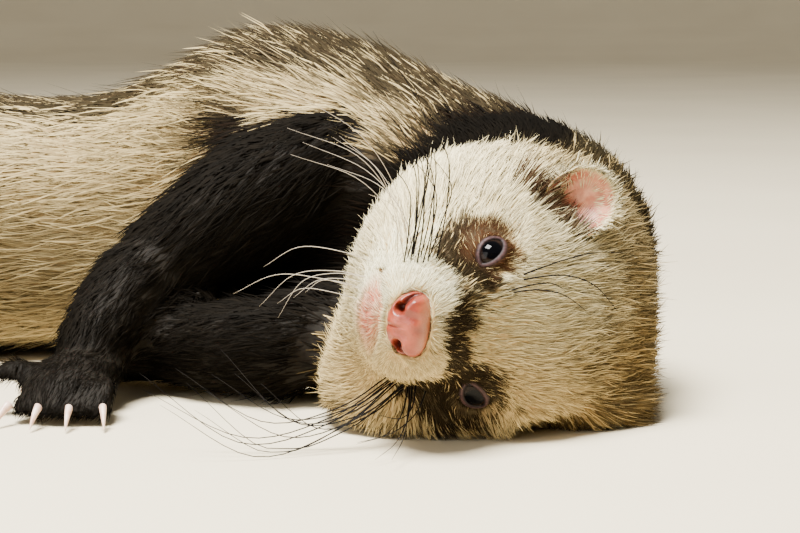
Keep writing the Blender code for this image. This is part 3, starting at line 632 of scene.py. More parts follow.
def head_marks(points):
    """Shares of the kinds of hair at points of the head, with painted shade on its left side, which lies
    towards the floor.
    """
    head = to_head(points)
    forward, right, high = head.T
    uneven = np.stack([ripple(points, MASK_RIPPLE, kind) for kind in (1, 2, 3)], axis=1)
    shaken = head + MASK_UNEVEN * uneven
    folded = np.stack((shaken[:, 0], np.abs(shaken[:, 1]), shaken[:, 2]), axis=1)
    bridge = 1 - smooth_step(*BRIDGE_FADE, from_path(shaken, BRIDGE_PATH)[0] / BRIDGE_WIDE)
    # The mask takes in the left patch, which is painted shade
    mask = np.maximum.reduce((blob(folded, *EYE_PATCH), bridge, blob(shaken, *LEFT_SHADE_PATCH)))
    mask *= 1 - blob(folded, *WHITE_CORNER)
    mask *= 1 - PALE_SPOT_SHARE * blob(head, *PALE_SPOT_BY_EYE)
    back = smooth_step(*SHADE_SIDE_BACK, forward)
    to_crown = smooth_step(*CROWN_BACK, forward + CROWN_UNEVEN * uneven[:, 0])
    places = {
        "mask": mask,
        "fringe": 1 - smooth_step(*EAR_FRINGE_FADE, from_path(head, EAR_FRINGE)[0] / EAR_FRINGE_WIDE),
        "nape": smooth_step(*NAPE_BACK, forward + NAPE_UNEVEN * uneven[:, 1]),
        "crown": to_crown * smooth_step(*CROWN_HIGH, high),
        # Painted shade on the head's left side, towards the floor
        "side": smooth_step(*SHADE_SIDE_LOW, right) * back,
        "lowest": smooth_step(*FLOOR_SHADE_LOW, right),
    }
    shares = {place: DARK_SHARES[place] * found for place, found in places.items()}
    side = shares.pop("side") + shares.pop("lowest")
    dark = np.maximum.reduce((*shares.values(), side))
    fringe, nape, crown = places["fringe"], places["nape"], places["crown"]
    # Painted shade: warmer, browner hair low on the left side, towards the floor
    under = smooth_step(*UNDER_SHADE_LOW, right)
    warm = HEAD_WARM + CROWN_WARMER * crown + UNDER_SHADE_WARMER * under
    warm = warm - MUZZLE_COOLER * blob(head, *MUZZLE_WHITE)
    brow = smooth_step(*BROW_BACK, forward) * smooth_step(*BROW_HIGH, high)
    solid = FACE_SOLID + NAPE_SOLID * nape + MASK_SOLID * np.maximum(mask, fringe)
    return {
        "dark": dark,
        "warm": np.maximum(np.clip(warm, 0, 1), MASK_WARM * mask),
        "tips": np.clip(HEAD_TIPS + CROWN_TIPS * crown + BROW_TIPS * brow, 0, 1),
        "rust": np.maximum(RUST_MOST * blob(shaken, *RUST_RING), FRINGE_RUST * fringe),
        "bare": blob(head, *LIP_PATCH),
        "solid": np.clip(solid - CROWN_PALER * np.minimum(crown, 1 - mask), 0, 1),
        "fringe": fringe,
        "line": by_mouth(head),
    }


# Along the spine the head counts 0, the neck 1, the chest 2 and so on. The back is 1 and the belly is -1.
SADDLE_ALONG = (1.9, 2.3, 2.7, 3.2)
SADDLE_EDGE = (-0.46, -0.60, -0.66, -0.46)
SADDLE_FADE = (-0.12, 0.16)
SADDLE_DARK = 0.86
SADDLE_SOLID = 0.6
SADDLE_TIPS = 0.6
# How far the bounds between the colours waver, and over what distance: round the body and along it
ROUND_UNEVEN = (0.06, 14.0)
ALONG_UNEVEN = (0.05, 16.0)
BREAST_LOW = (-0.62, -0.80)
BREAST_BEFORE = (2.6, 2.2)
NECK_BEFORE = (1.75, 1.35)
RUMP_BEHIND = (4.3, 4.9)
NECK_HIGH = (2, 18)
# The neck beside the crown has fewer dark tufts, and is warmer
NECK_PALER = 0.5
NECK_WARMER = 0.15
BODY_WARM = 0.8
BODY_TIPS = (0.15, 0.4)
PALE_SOLID = 0.25


def body_marks(points, names):
    """The same on the body: neck, breast, legs, saddle, rump and tail."""
    spine, way = curve_through([centroid(node) for node in SPINE_NODES])
    near = nearest_on(spine, points)
    back = unit(np.cross(way[near], UP))
    (round_most, round_size), (along_most, along_size) = ROUND_UNEVEN, ALONG_UNEVEN
    to_back = (unit(points - spine[near]) * back).sum(axis=1) + round_most * ripple(points, round_size, 4)
    along = near / (len(spine) - 1) * (len(SPINE_NODES) - 1) + along_most * ripple(points, along_size, 5)
    saddle = smooth_step(*SADDLE_FADE, to_back - np.interp(along, SADDLE_ALONG, SADDLE_EDGE))
    breast = smooth_step(*BREAST_LOW, to_back) * smooth_step(*BREAST_BEFORE, along)
    by_crown = smooth_step(*NECK_HIGH, to_head(points)[:, 2]) * (names == "neck")
    neck = smooth_step(*NECK_BEFORE, along) * (1 - NECK_PALER * by_crown)
    behind = smooth_step(*RUMP_BEHIND, along)
    limb = (np.char.find(names, "leg_") > 0).astype(float)
    whole = np.maximum.reduce((breast, neck, behind, limb))
    tips, more_tips = BODY_TIPS
    marks = {
        "dark": np.maximum(SADDLE_DARK * saddle, whole),
        "warm": BODY_WARM + NECK_WARMER * by_crown,
        "tips": tips + more_tips * np.maximum(by_crown, SADDLE_TIPS * saddle),
        "solid": np.maximum(PALE_SOLID + SADDLE_SOLID * saddle, BODY_SOLID * whole),
    }
    for kind in ("rust", "bare", "fringe", "line"):
        marks[kind] = np.zeros(len(points))
    return marks


# Marks that are the same all over both ears, or over one
EAR_MARKS = {
    "ear": {"dark": 0.06, "tips": 0.06, "fringe": 0.06, "warm": 0.2},
    "ear_right": {"solid": 0.9, "rust": 0.35},
    # The left ear lies pressed under the head by the floor; its dark tufts are painted shade
    "ear_left": {"dark": 0.7},
}
EAR_DARK = (0.06, 0.84)


def markings(points, names):
    """Every mark at every point, by the solid whose skin it is on."""
    on_head = (names == "head") | np.char.startswith(names, "ear")
    of_head, of_body = head_marks(points), body_marks(points, names)
    marks = {kind: np.where(on_head, of_head[kind], of_body[kind]) for kind in of_head}
    for ear, own in EAR_MARKS.items():
        here = np.char.startswith(names, ear)
        marks.update({kind: np.where(here, value, marks[kind]) for kind, value in own.items()})
    least, more = EAR_DARK
    ear_dark = least + more * smooth_step(*EAR_DARK_FROM, to_head(points)[:, 0])
    marks["dark"] = np.where(names == "ear_right", ear_dark, marks["dark"])
    return marks


# Materials


def linear(red, green, blue):
    """A colour as the eye sees it on a screen, from 0 to 255, as light."""
    def channel(value):
        share = value / 255
        return share / 12.92 if share <= 0.04045 else ((share + 0.055) / 1.055) ** 2.4
    return (channel(red), channel(green), channel(blue), 1.0)


WHITE_ROOT = linear(218, 200, 144)
WHITE_TIP = linear(254, 248, 210)
TAN_ROOT = linear(150, 112, 58)
TAN_TIP = linear(232, 203, 136)
DARK_ROOT = linear(13, 9, 6)
DARK_TIP = linear(6, 5, 4)
BROWN_TIP = linear(92, 62, 38)
RUST_HAIR = linear(88, 46, 22)
PINK_HAIR = linear(222, 160, 134)
PINK_SKIN = linear(178, 96, 76)
PALE_SKIN = linear(182, 156, 108)
DARK_SKIN = linear(10, 8, 6)
# Painted shade along the crease of the mouth
MOUTH_CREASE_SHADE = linear(104, 44, 38)


class Nodes:
    """Short calls for a material's nodes."""

    def __init__(self, name):
        self.material = bpy.data.materials.new(name)
        self.material.use_nodes = True
        self.tree = self.material.node_tree
        self.shader = self.tree.nodes["Principled BSDF"]

    def add(self, kind, **sockets):
        node = self.tree.nodes.new(kind)
        for name, value in sockets.items():
            self.put(node.inputs[name.replace("_", " ")], value)
        return node

    def put(self, socket, value):
        if isinstance(value, bpy.types.NodeSocket):
            self.tree.links.new(value, socket)
        else:
            socket.default_value = value

    def number(self, attribute):
        node = self.tree.nodes.new("ShaderNodeAttribute")
        node.attribute_name = attribute
        return node.outputs["Fac"]

    def mix(self, share, first, second, blend="MIX"):
        node = self.tree.nodes.new("ShaderNodeMix")
        node.data_type = "RGBA"
        node.blend_type = blend
        self.put(node.inputs["Factor"], share)
        self.put(node.inputs[6], first)
        self.put(node.inputs[7], second)
        return node.outputs[2]

    def place(self):
        return self.tree.nodes.new("ShaderNodeTexCoord").outputs["Object"]

    def noise(self, scale, detail=3.0):
        node = self.add("ShaderNodeTexNoise", Scale=scale, Detail=detail)
        self.put(node.inputs["Vector"], self.place())
        return node.outputs["Fac"]

    def range(self, value, low, high, new_low=0.0, new_high=1.0):
        node = self.tree.nodes.new("ShaderNodeMapRange")
        for index, number in enumerate((value, low, high, new_low, new_high)):
            self.put(node.inputs[index], number)
        return node.outputs[0]

    def patchy(self, scale, first, second, edges=(0.3, 0.7), detail=3.0):
        """Two colours in patches."""
        return self.mix(self.range(self.noise(scale, detail), *edges), first, second)

    def bump(self, height, strength, distance):
        node = self.add("ShaderNodeBump", Strength=strength, Distance=distance)
        self.put(node.inputs["Height"], height)
        self.put(self.shader.inputs["Normal"], node.outputs["Normal"])

    def set(self, **sockets):
        for name, value in sockets.items():
            self.put(self.shader.inputs[name.replace("_", " ")], value)


def coat_material(name):
    """White to tan, rust and dark by the markings, each tuft a little apart from the next and darker towards
    its root as painted shade deep in the coat.
    """
    nodes = Nodes(name)
    along = nodes.number("along")
    white = nodes.mix(along, WHITE_ROOT, WHITE_TIP)
    tan = nodes.mix(along, TAN_ROOT, TAN_TIP)
    pale = nodes.mix(nodes.number("warm"), white, tan)
    pale = nodes.mix(nodes.number("bare"), pale, PINK_HAIR)
    brown = nodes.mix(along, DARK_ROOT, DARK_TIP)
    brown = nodes.mix(nodes.number("grizzle"), brown, BROWN_TIP)
    brown = nodes.mix(nodes.number("rust"), brown, RUST_HAIR)
    colour = nodes.mix(nodes.number("dark"), pale, brown)
    # The tone varies at random from tuft to tuft and darkens each towards its root as painted shade
    nodes.set(Base_Color=nodes.mix(1.0, colour, nodes.number("tone"), "MULTIPLY"))
    nodes.set(Roughness=0.7, Specular_IOR_Level=nodes.range(nodes.number("dark"), 0.0, 1.0, 0.14, 0.03))
    return nodes.material


def skin_material():
    """Bare skin under the coat, dark where the hair is, pink on the lips, and painted shade along the crease
    of the mouth.
    """
    nodes = Nodes("skin")
    pale = nodes.mix(nodes.number("dark"), PALE_SKIN, DARK_SKIN)
    colour = nodes.mix(nodes.number("bare"), pale, PINK_SKIN)
    # Painted shade along the mouth's crease
    colour = nodes.mix(nodes.number("line"), colour, MOUTH_CREASE_SHADE)
    fine = nodes.range(nodes.noise(900), 0.3, 0.7)
    nodes.set(Base_Color=nodes.mix(fine, colour, linear(200, 190, 185), "MULTIPLY"))
    nodes.set(Roughness=0.7, Specular_IOR_Level=0.1)
    nodes.set(Subsurface_Weight=0.1, Subsurface_Scale=0.002)
    nodes.bump(nodes.noise(1500), 0.3, 0.0002)
    return nodes.material


def nose_material():
    """Moist pink leather with painted shade in the nostrils, a stain and a few freckles."""
    nodes = Nodes("nose_skin")
    colour = nodes.patchy(300, linear(112, 38, 24), linear(144, 64, 42), (0.35, 0.65), 2.0)
    colour = nodes.mix(nodes.number("pale"), colour, linear(148, 86, 60))
    colour = nodes.mix(nodes.number("stain"), colour, linear(98, 30, 16))
    # Painted shade in the nostrils and their slits
    colour = nodes.mix(nodes.number("deep"), colour, linear(62, 8, 8))
    nodes.set(Base_Color=colour, Roughness=0.36, Specular_IOR_Level=0.5)
    nodes.set(Subsurface_Weight=0.2, Subsurface_Scale=0.0012)
    cells = nodes.add("ShaderNodeTexVoronoi", Scale=2400.0)
    nodes.put(cells.inputs["Vector"], nodes.place())
    nodes.bump(cells.outputs["Distance"], 0.22, 0.0002)
    return nodes.material


def eye_material():
    """Wet and nearly black, with a faint brown iris."""
    nodes = Nodes("eye")
    iris = nodes.range(nodes.number("from_pupil"), 0.42, 0.5)
    brown = nodes.patchy(2600, linear(14, 9, 7), linear(30, 19, 13), (0.35, 0.7))
    nodes.set(Base_Color=nodes.mix(iris, linear(2, 2, 3), brown))
    nodes.set(Roughness=0.03, Specular_IOR_Level=0.1)
    return nodes.material


def lid_material():
    """Bare grey skin, darkest at the rim of the opening."""
    nodes = Nodes("lid")
    fine = nodes.range(nodes.noise(1400), 0.3, 0.7)
    rim = nodes.range(nodes.number("outward"), 0.0, 0.45)
    bare = nodes.mix(fine, linear(44, 30, 30), linear(74, 52, 52))
    outer = nodes.mix(fine, linear(24, 16, 12), linear(46, 30, 22))
    colour = nodes.mix(rim, linear(18, 11, 11), bare)
    beyond = nodes.range(nodes.number("outward"), 0.55, 1.0)
    nodes.set(Base_Color=nodes.mix(beyond, colour, outer))
    nodes.set(Roughness=0.55, Specular_IOR_Level=0.15)
    nodes.bump(nodes.noise(2500), 0.3, 0.0002)
    return nodes.material


def ear_material():
    """Pink inside with faint veins, and painted shade in the hollow."""
    nodes = Nodes("ear_skin")
    inner = nodes.patchy(420, linear(158, 84, 64), linear(198, 138, 110), (0.35, 0.65))
    # Painted shade: darker red-brown in the hollow
    inner = nodes.mix(nodes.number("hollow"), inner, linear(92, 38, 28))
    nodes.set(Base_Color=nodes.mix(nodes.number("inner"), PALE_SKIN, inner))
    nodes.set(Roughness=0.5, Subsurface_Weight=0.25, Subsurface_Scale=0.002)
    nodes.bump(nodes.noise(1800), 0.25, 0.0002)
    return nodes.material


def claw_material():
    """Pale horn."""
    nodes = Nodes("claw")
    nodes.set(Base_Color=nodes.patchy(700, linear(206, 166, 146), linear(234, 212, 194)))
    nodes.set(Roughness=0.3, Specular_IOR_Level=0.5)
    return nodes.material


def whisker_material(name, root, tip):
    """A bristle's colour from its root to its tip."""
    nodes = Nodes(name)
    nodes.set(Base_Color=nodes.mix(nodes.number("along"), root, tip), Roughness=0.6, Specular_IOR_Level=0.1)
    return nodes.material


def floor_material():
    """Plain and pale."""
    nodes = Nodes("floor")
    nodes.set(Base_Color=nodes.patchy(6, linear(208, 196, 168), linear(216, 204, 176)), Roughness=0.7)
    return nodes.material


# Coat


def both_legs(pair):
    """The solids of the right and the left leg of a pair."""
    return tuple(f"{pair}_{side}_{part}" for side in ("right", "left") for part in LIMB_PARTS)


# Pieces of coat: slot, most triangles, and the solids whose skin each grows on
COAT_PIECES = {
    "face": ("face_coat", 195000, ("head",)),
    "cheeks": ("face_coat", 195000, ("head",)),
    "crown": ("face_coat", 180000, ("head",)),
    "neck": ("neck_coat", 110000, ("neck",)),
    "chest": ("body_coat", 150000, ("chest",)),
    "belly": ("body_coat", 150000, ("belly",)),
    "rump": ("rump_coat", 150000, ("rump",)),
    "tail": ("dark_coat", 110000, ("tail_root", "tail_middle", "tail_tip")),
    "forelegs": ("dark_coat", 110000, both_legs("foreleg")),
    "hindlegs": ("dark_coat", 120000, both_legs("hindleg")),
}
EAR_TRIANGLES = 16000
# The pieces of the head's coat, by how far forward they begin and end
EVERYWHERE = (-math.inf, math.inf)
HEAD_BANDS = {"face": (30.0, math.inf), "cheeks": (13.0, 30.0), "crown": (-math.inf, 13.0)}
NEEDLE_SHARE = {"face": 0.45, "cheeks": 0.45, "crown": 0.5}
BODY_NEEDLE_SHARE = 0.75
BODY_PIECES = ("chest", "belly", "rump", "neck")
GRIZZLED = ("head", "chest", "belly", "rump")
# The points of a tuft's ring, and its tip, each as up, sideways and place on the map. The ring comes twice,
# at the root and at the bend.
TUFT_RING = ((1.0, 0.0, 0.0), (-0.5, 0.8, 0.5), (-0.5, -0.8, -0.5))
TUFT_TIP = ((0.0, 0.0, 0.0),)
TUFT_POINTS = 7
ROOT_RADIUS = 0.38
BEND_RADIUS = 0.42
NEEDLE_FACES = ((2, 1, 0), (0, 1, 6), (1, 2, 6), (2, 0, 6))
LOCK_FACES = (
    (2, 1, 0), (0, 1, 4), (0, 4, 3), (1, 2, 5), (1, 5, 4),
    (2, 0, 3), (2, 3, 5), (3, 4, 6), (4, 5, 6), (5, 3, 6),
)
# How bright the darkest and the brightest tuft is, and a tuft's root beside its tip, the root darkened as
# painted shade deep in the coat
FACE_TONES = (0.58, 1.12, 0.5)
BODY_TONES = (0.47, 0.67, 0.72)
# The left ear's darker tufts are painted shade under the head
TUFT_TONES = {"ear_right": (0.9, 1.15, 0.5), "ear_left": (0.6, 1.0, 0.5), "crown": (0.64, 1.04, 0.55)}
TUFT_WIDTHS = {"cheeks": 0.8, "crown": 0.74, "neck": 0.85, "chest": 0.76, "belly": 0.76, "rump": 0.8}
# How far a tuft's own roundness shows in its shading
FACE_ROUNDING = 0.6
BODY_ROUNDING = 0.2
PATCH = 0.003
MAP_EDGE = 0.02
FLOOR_CLEAR = 0.15
# Tufts stand closer where the coat is shorter, by this power of its length
CLOSER_POWER = 1.5
LENGTH_SPREAD = (0.72, 1.15)
WIDTH_SHARE = 0.078
WIDTH_POWER = 0.85
WIDTH_SPREAD = (0.7, 1.3)
# How deep a root sits in the skin, in a coat of that length or longer
ROOT_SUNK = 0.25
ROOT_SUNK_FROM = 4.0
# The coat's waves: how far tufts turn sideways, and the sizes of the waves
WAVE_TURN = 0.10
WAVE_LONG = 7.0
WAVE_SHORT = 2.2
WAVE_SHORT_SHARE = 1.3
SWAY = 0.13
# How steeply tufts stand on the skin, as angles
LIFT = 0.26
LIFT_SPREAD = 0.08
LIFT_WAVE = 0.05
LIFT_WAVE_SIZE = 3.0
LIFT_LIMITS = (0.08, 1.1)
BEND_DOWN = 0.22
PARTING_LIFT = 0.9
FRINGE_LIFT = 0.4
FRINGE_LONGER = 0.3
# A few guard hairs stand higher and are longer and thinner
GUARD_SHARE = 0.03
GUARD_LIFT = 0.18
GUARD_LONGER = 0.2
GUARD_THINNER = 0.35
# Where along a tuft its colours change, and how far
TIP_DARK = (0.4, 0.9)
TIP_FROM = (0.1, 0.9)
GRIZZLE_FROM = (0.3, 0.9)
GRIZZLE_MOST = 1.2
# How the painted shade at a tuft's root lightens along it
ROOT_SHADE_POWER = 0.8
LIP_PINK = 0.8


def roots_on(skin, faces, count, random):
    """Places spread evenly over some of the skin's triangles, closer where the coat is shorter."""
    corners = skin["triangles"][faces]
    a, b, c = (skin["points"][corners[:, k]] for k in range(3))
    area = np.linalg.norm(np.cross(b - a, c - a), axis=1) / 2
    length = skin["length"][corners].mean(axis=1)
    total = np.cumsum(area / length ** CLOSER_POWER)
    at = (np.arange(count) + random.random(count)) / count * total[-1]
    chosen = np.minimum(np.searchsorted(total, at), len(faces) - 1)
    first, second = random.random((2, count))
    over = first + second > 1
    first = np.where(over, 1 - first, first)
    second = np.where(over, 1 - second, second)
    share = np.stack((1 - first - second, first, second), axis=1)
    picked = corners[chosen]

    def carried(values):
        parts = values[picked]
        return (parts * (share if parts.ndim == 2 else share[:, :, None])).sum(axis=1)

    found = {kind: carried(skin[kind]) for kind in ("points", "normals", "lie", "length", "uv")}
    found["normals"] = unit(found["normals"])
    found["names"] = skin["names"][picked[:, 0]]
    return found


def lying(roots, marks, random):
    """Directions of the lower and upper half of each tuft, and which tufts are guard hairs."""
    normals = roots["normals"]
    lie = along_skin(roots["lie"], normals)
    parting = 1 - np.clip(np.linalg.norm(roots["lie"], axis=1), 0, 1)
    across = np.cross(normals, lie)
    count = len(lie)
    wave = ripple(roots["points"], WAVE_LONG, 6) + WAVE_SHORT_SHARE * ripple(roots["points"], WAVE_SHORT, 7)
    turn = WAVE_TURN * wave + SWAY * random.standard_normal(count)
    lie = turned(lie, across, turn)
    lift = LIFT + LIFT_SPREAD * random.standard_normal(count)
    lift = lift + LIFT_WAVE * ripple(roots["points"], LIFT_WAVE_SIZE, 8)
    guard = random.random(count) < GUARD_SHARE
    lift = lift + GUARD_LIFT * guard + FRINGE_LIFT * marks["fringe"] + PARTING_LIFT * parting
    lift = np.clip(lift, *LIFT_LIMITS)
    return turned(lie, normals, lift), turned(lie, normals, lift - BEND_DOWN), guard


def tuft_faces(count, needles, random):
    """The triangles of all tufts, by their points before the unused ones are left out."""
    at = np.arange(TUFT_POINTS)[:, None] * count + np.arange(count)
    bent = random.permutation(count) >= int(count * needles)

    def rows(which, pattern):
        return np.concatenate([np.stack([at[k][which] for k in corner], axis=1) for corner in pattern])

    return np.concatenate((rows(~bent, NEEDLE_FACES), rows(bent, LOCK_FACES)))


def colour_tufts(piece, roots, marks, tones, owner, along, random):
    """Which tufts are dark, dark at the tip alone or browned, and how bright each is, darker towards its
    root as painted shade deep in the coat.
    """
    count = len(roots["length"])
    darkest, brightest, root_shade = tones
    is_dark = random.random(count) < marks["dark"]
    dark_root = np.where(is_dark, marks["solid"], 0.0)
    tipped = random.random(count) < marks["tips"]
    dark_tip = np.where(is_dark, 1.0, np.where(tipped, random.uniform(*TIP_DARK, count), 0.0))
    dark = dark_root[owner] + (dark_tip - dark_root)[owner] * smooth_step(*TIP_FROM, along)
    # Random tone, and painted shade that darkens a tuft towards its root
    tone = random.uniform(darkest, brightest, count)[owner] * (root_shade + (1 - root_shade) * along ** ROOT_SHADE_POWER)
    browned = np.isin(roots["names"], GRIZZLED) * (1 - marks["fringe"])
    grizzle = random.random(count) ** 2 * browned * (GRIZZLE_MOST - marks["solid"])
    mark(piece, dark=dark, warm=marks["warm"][owner], rust=marks["rust"][owner],
         bare=marks["bare"][owner] * LIP_PINK, grizzle=grizzle[owner] * smooth_step(*GRIZZLE_FROM, along),
         tone=tone, along=along)


def coat_piece(name, skin, faces, most_triangles, material, random):
    """Tapered tufts over part of the skin, needles of four triangles and bent locks of ten."""
    needles = NEEDLE_SHARE.get(name, BODY_NEEDLE_SHARE)
    each = needles * len(NEEDLE_FACES) + (1 - needles) * len(LOCK_FACES)
    count = int(most_triangles / each * (1))
    roots = roots_on(skin, faces, count, random)
    marks = markings(roots["points"], roots["names"])
    thin = np.maximum(LIP_THIN * marks["bare"], smooth_step(*MOUTH_CLEAR, marks["line"]))
    stays = random.random(count) > thin
    roots = {kind: values[stays] for kind, values in roots.items()}
    marks = {kind: values[stays] for kind, values in marks.items()}
    count = int(stays.sum())

    low, high, guard = lying(roots, marks, random)
    longer = 1 + GUARD_LONGER * guard + FRINGE_LONGER * marks["fringe"]
    half = roots["length"] * random.uniform(*LENGTH_SPREAD, count) * longer * 0.5
    width = WIDTH_SHARE * roots["length"] ** WIDTH_POWER * random.uniform(*WIDTH_SPREAD, count)
    width = width * (1 - GUARD_THINNER * guard) * TUFT_WIDTHS.get(name, 1.0)
    sunk = ROOT_SUNK * np.minimum(1, roots["length"] / ROOT_SUNK_FROM)
    root = roots["points"] - sunk[:, None] * roots["normals"]
    bend = root + low * half[:, None]
    tip = bend + high * half[:, None]
    side = unit(np.cross(low, roots["normals"]))
    over = np.cross(side, low)
    of_body = name in BODY_PIECES
    rounding = BODY_ROUNDING if of_body else FACE_ROUNDING

    points, normals, along, uv = [], [], [], []
    stages = (
        (root, ROOT_RADIUS, 0.0, TUFT_RING),
        (bend, BEND_RADIUS, 0.5, TUFT_RING),
        (tip, 0.0, 1.0, TUFT_TIP),
    )
    for at, radius, share, ring in stages:
        for up_share, side_share, u in ring:
            offset = over * up_share + side * side_share
            points.append(at + offset * (width * radius)[:, None])
            normals.append(unit(roots["normals"] + rounding * offset))
            along.append(np.full(count, share))
            uv.append(roots["uv"] + PATCH * np.array((u, share - 0.5)))

    triangles = tuft_faces(count, needles, random)
    points = np.concatenate(points)
    points[:, 2] = np.maximum(points[:, 2], FLOOR_CLEAR)
    used = np.zeros(len(points), bool)
    used[triangles] = True
    number = np.cumsum(used) - 1
    piece = new_object(f"coat_{name}", points[used], number[triangles])
    tones = TUFT_TONES.get(name, BODY_TONES if of_body else FACE_TONES)
    owner = np.tile(np.arange(count), TUFT_POINTS)[used]
    colour_tufts(piece, roots, marks, tones, owner, np.concatenate(along)[used], random)
    layer = piece.data.uv_layers.new(name="OFBake")
    corners = read(piece.data.loops, "vertex_index", 1, np.int32).ravel()
    layer.data.foreach_set("uv", np.concatenate(uv)[used][corners].astype(np.float32).ravel())
    piece.data.normals_split_custom_set_from_vertices(np.concatenate(normals)[used].tolist())
    give(piece, material)


def unwrapped(skin):
    """Each solid's share of the skin, unrolled round its own long axis."""
    points, labels = skin["points"], skin["labels"]
    uv = np.zeros((len(points), 2))
    for index in range(len(FLESH)):
        here = labels == index
        local = points[here] - points[here].mean(axis=0)
        axes = np.linalg.svd(local, full_matrices=False)[2]
        along = local @ axes[0]
        angle = np.arctan2(local @ axes[2], local @ axes[1])
        uv[here, 0] = angle / (2 * math.pi) + 0.5
        uv[here, 1] = (along - along.min()) / max(np.ptp(along), TINY)
    return MAP_EDGE + (1 - 2 * MAP_EDGE) * uv


def bare_places(points):
    """True where no tuft grows: round the eyes' openings, behind the ear's cup and under the nose pad."""
    bare = np.zeros(len(points), bool)
    for side in BOTH_SIDES:
        out, distance = past_opening(points, side)
        bare |= (out < LID_BARE) & (distance < BY_EYE)
    root, rise, face, _ = ear_frame("ear_right")
    wide = np.cross(rise, face)
    on_cup = np.hypot((points - root) @ wide / (EAR_WIDTH / 2), (points - root) @ rise / EAR_HEIGHT)
    bare |= (on_cup < EAR_COVERS) & (np.linalg.norm(points - root, axis=1) < EAR_WIDTH)
    off_nose = (to_head(points) - (NOSE_BARE_AT, *NOSE_AT)) / NOSE_BARE_RADII
    return bare | (np.linalg.norm(off_nose, axis=1) < 1)


def make_coat(skin):
    """Every piece of coat but the ears', and the material that they share."""
    random = np.random.default_rng(SEED)
    middle = skin["points"][skin["triangles"]].mean(axis=1)
    names = skin["names"][skin["triangles"][:, 0]]
    forward = to_head(middle)[:, 0]
    grows = ~bare_places(middle)
    material = coat_material("coat")
    for name, (slot, triangles, nodes) in COAT_PIECES.items():
        low, high = HEAD_BANDS.get(name, EVERYWHERE)
        here = np.isin(names, nodes) & grows & (forward > low) & (forward <= high)
        coat_piece(name, skin, np.flatnonzero(here), triangles, material, random)
    return material


# Details of the head


def grid_faces(rings, sides):
    """Quads between closed rings that follow one another in a list of points."""
    ring, side = np.meshgrid(np.arange(rings - 1), np.arange(sides), indexing="ij")
    after = (side + 1) % sides
    quads = np.stack((ring * sides + side, ring * sides + after,
                      (ring + 1) * sides + after, (ring + 1) * sides + side), axis=-1)
    return quads.reshape(-1, 4)


def closed_form(name, rings, first=None, last=None):
    """A closed mesh over rings of equally many points, with a point that closes each end."""
    rings = np.asarray(rings, float)
    first = rings[0].mean(axis=0) if first is None else first
    last = rings[-1].mean(axis=0) if last is None else last
    count, sides = rings.shape[:2]
    points = np.vstack((rings.reshape(-1, 3), first, last))
    side = np.arange(sides)
    after = (side + 1) % sides
    start = np.stack((np.full(sides, count * sides), after, side), axis=1)
    base = (count - 1) * sides
    end = np.stack((np.full(sides, count * sides + 1), base + side, base + after), axis=1)
    quads = grid_faces(count, sides)
    split = np.concatenate((halved(quads), start, end))
    a, b, c = (points[split[:, k]] - points[0] for k in range(3))
    groups = [quads, start, end]
    if (a * np.cross(b, c)).sum() < 0:
        groups = [group[:, ::-1] for group in groups]
    return new_object(name, points, groups)


EYE_RINGS = 44
EYE_SIDES = 64
# The eyeball beside its radius, and how high and how wide the cornea stands out
EYE_FILL = 0.985
CORNEA_HIGH = 0.05
CORNEA_WIDE = 0.6


def make_eye(name, side, material):
    """An eyeball with its cornea."""
    centre, look, axis, up = eye_frame(side)
    polar = np.linspace(0, math.pi, EYE_RINGS + 2)[1:-1]
    turn = full_turn(EYE_SIDES)
    round_look = turned(axis, up, turn)
    radius = EYE_RADIUS * EYE_FILL * (1 + CORNEA_HIGH * hump(polar, CORNEA_WIDE))
    form = [centre + (look * math.cos(a) + round_look * math.sin(a)) * r for a, r in zip(polar, radius)]
    piece = closed_form(f"eyeball_{name}", form, centre + look * radius[0], centre - look * radius[-1])
    mark(piece, from_pupil=np.append(np.repeat(polar, EYE_SIDES), (0, math.pi)))
    give(piece, material, [f"eye_{name}"])


# How far out from the edge of the opening each ring of a lid lies, how high over the eyeball, and its colour
LID_RINGS = (
    (0.1, -0.5, 0), (-0.04, -0.1, 0), (-0.02, 0.12, 0), (0.10, 0.28, 0.1), (0.30, 0.40, 0.4),
    (0.55, 0.46, 0.7), (0.9, 0.44, 1), (1.4, 0.34, 1), (1.9, 0.10, 1), (2.1, -0.4, 1), (1.2, -0.8, 1),
)
LID_SIDES = 80
LID_POINT = 1.4


def make_lids(name, side, material):
    """A bare rim round the opening: rings out from its edge, the last ones sunk in the skin."""
    centre, look, axis, up = eye_frame(side)
    turn = full_turn(LID_SIDES)
    points, outward = [], []
    for out, height, shade in LID_RINGS:
        wide = np.where(np.sin(turn) > 0, OPENING_UPPER, OPENING_LOWER) + out
        x = (OPENING_LONG + out) * np.cos(turn)
        y = wide * np.sign(np.sin(turn)) * np.abs(np.sin(turn)) ** LID_POINT
        reach = np.hypot(x, y)
        flat = (np.outer(x, axis) + np.outer(y, up)) / reach[:, None]
        angle = (reach / EYE_RADIUS)[:, None]
        points.append(centre + (look * np.cos(angle) + flat * np.sin(angle)) * (EYE_RADIUS + height))
        outward.append(np.full(LID_SIDES, shade))
    rings = len(LID_RINGS)
    faces = np.concatenate((grid_faces(rings, LID_SIDES), ring_back(rings, LID_SIDES)))
    points = np.concatenate(points)
    if side < 0:
        faces = faces[:, ::-1]
    piece = new_object(f"lids_{name}", points, faces)
    mark(piece, outward=np.concatenate(outward))
    give(piece, material)


def ring_back(rings, sides):
    """Quads from the last ring back to the first, which close a ring-shaped form."""
    side = np.arange(sides)
    after = (side + 1) % sides
    last = (rings - 1) * sides
    return np.stack((last + side, last + after, after, side), axis=1)


NOSE_AT = (0.4, -3.1)
NOSE_WIDE = 6.4
NOSE_HIGH = 3.9
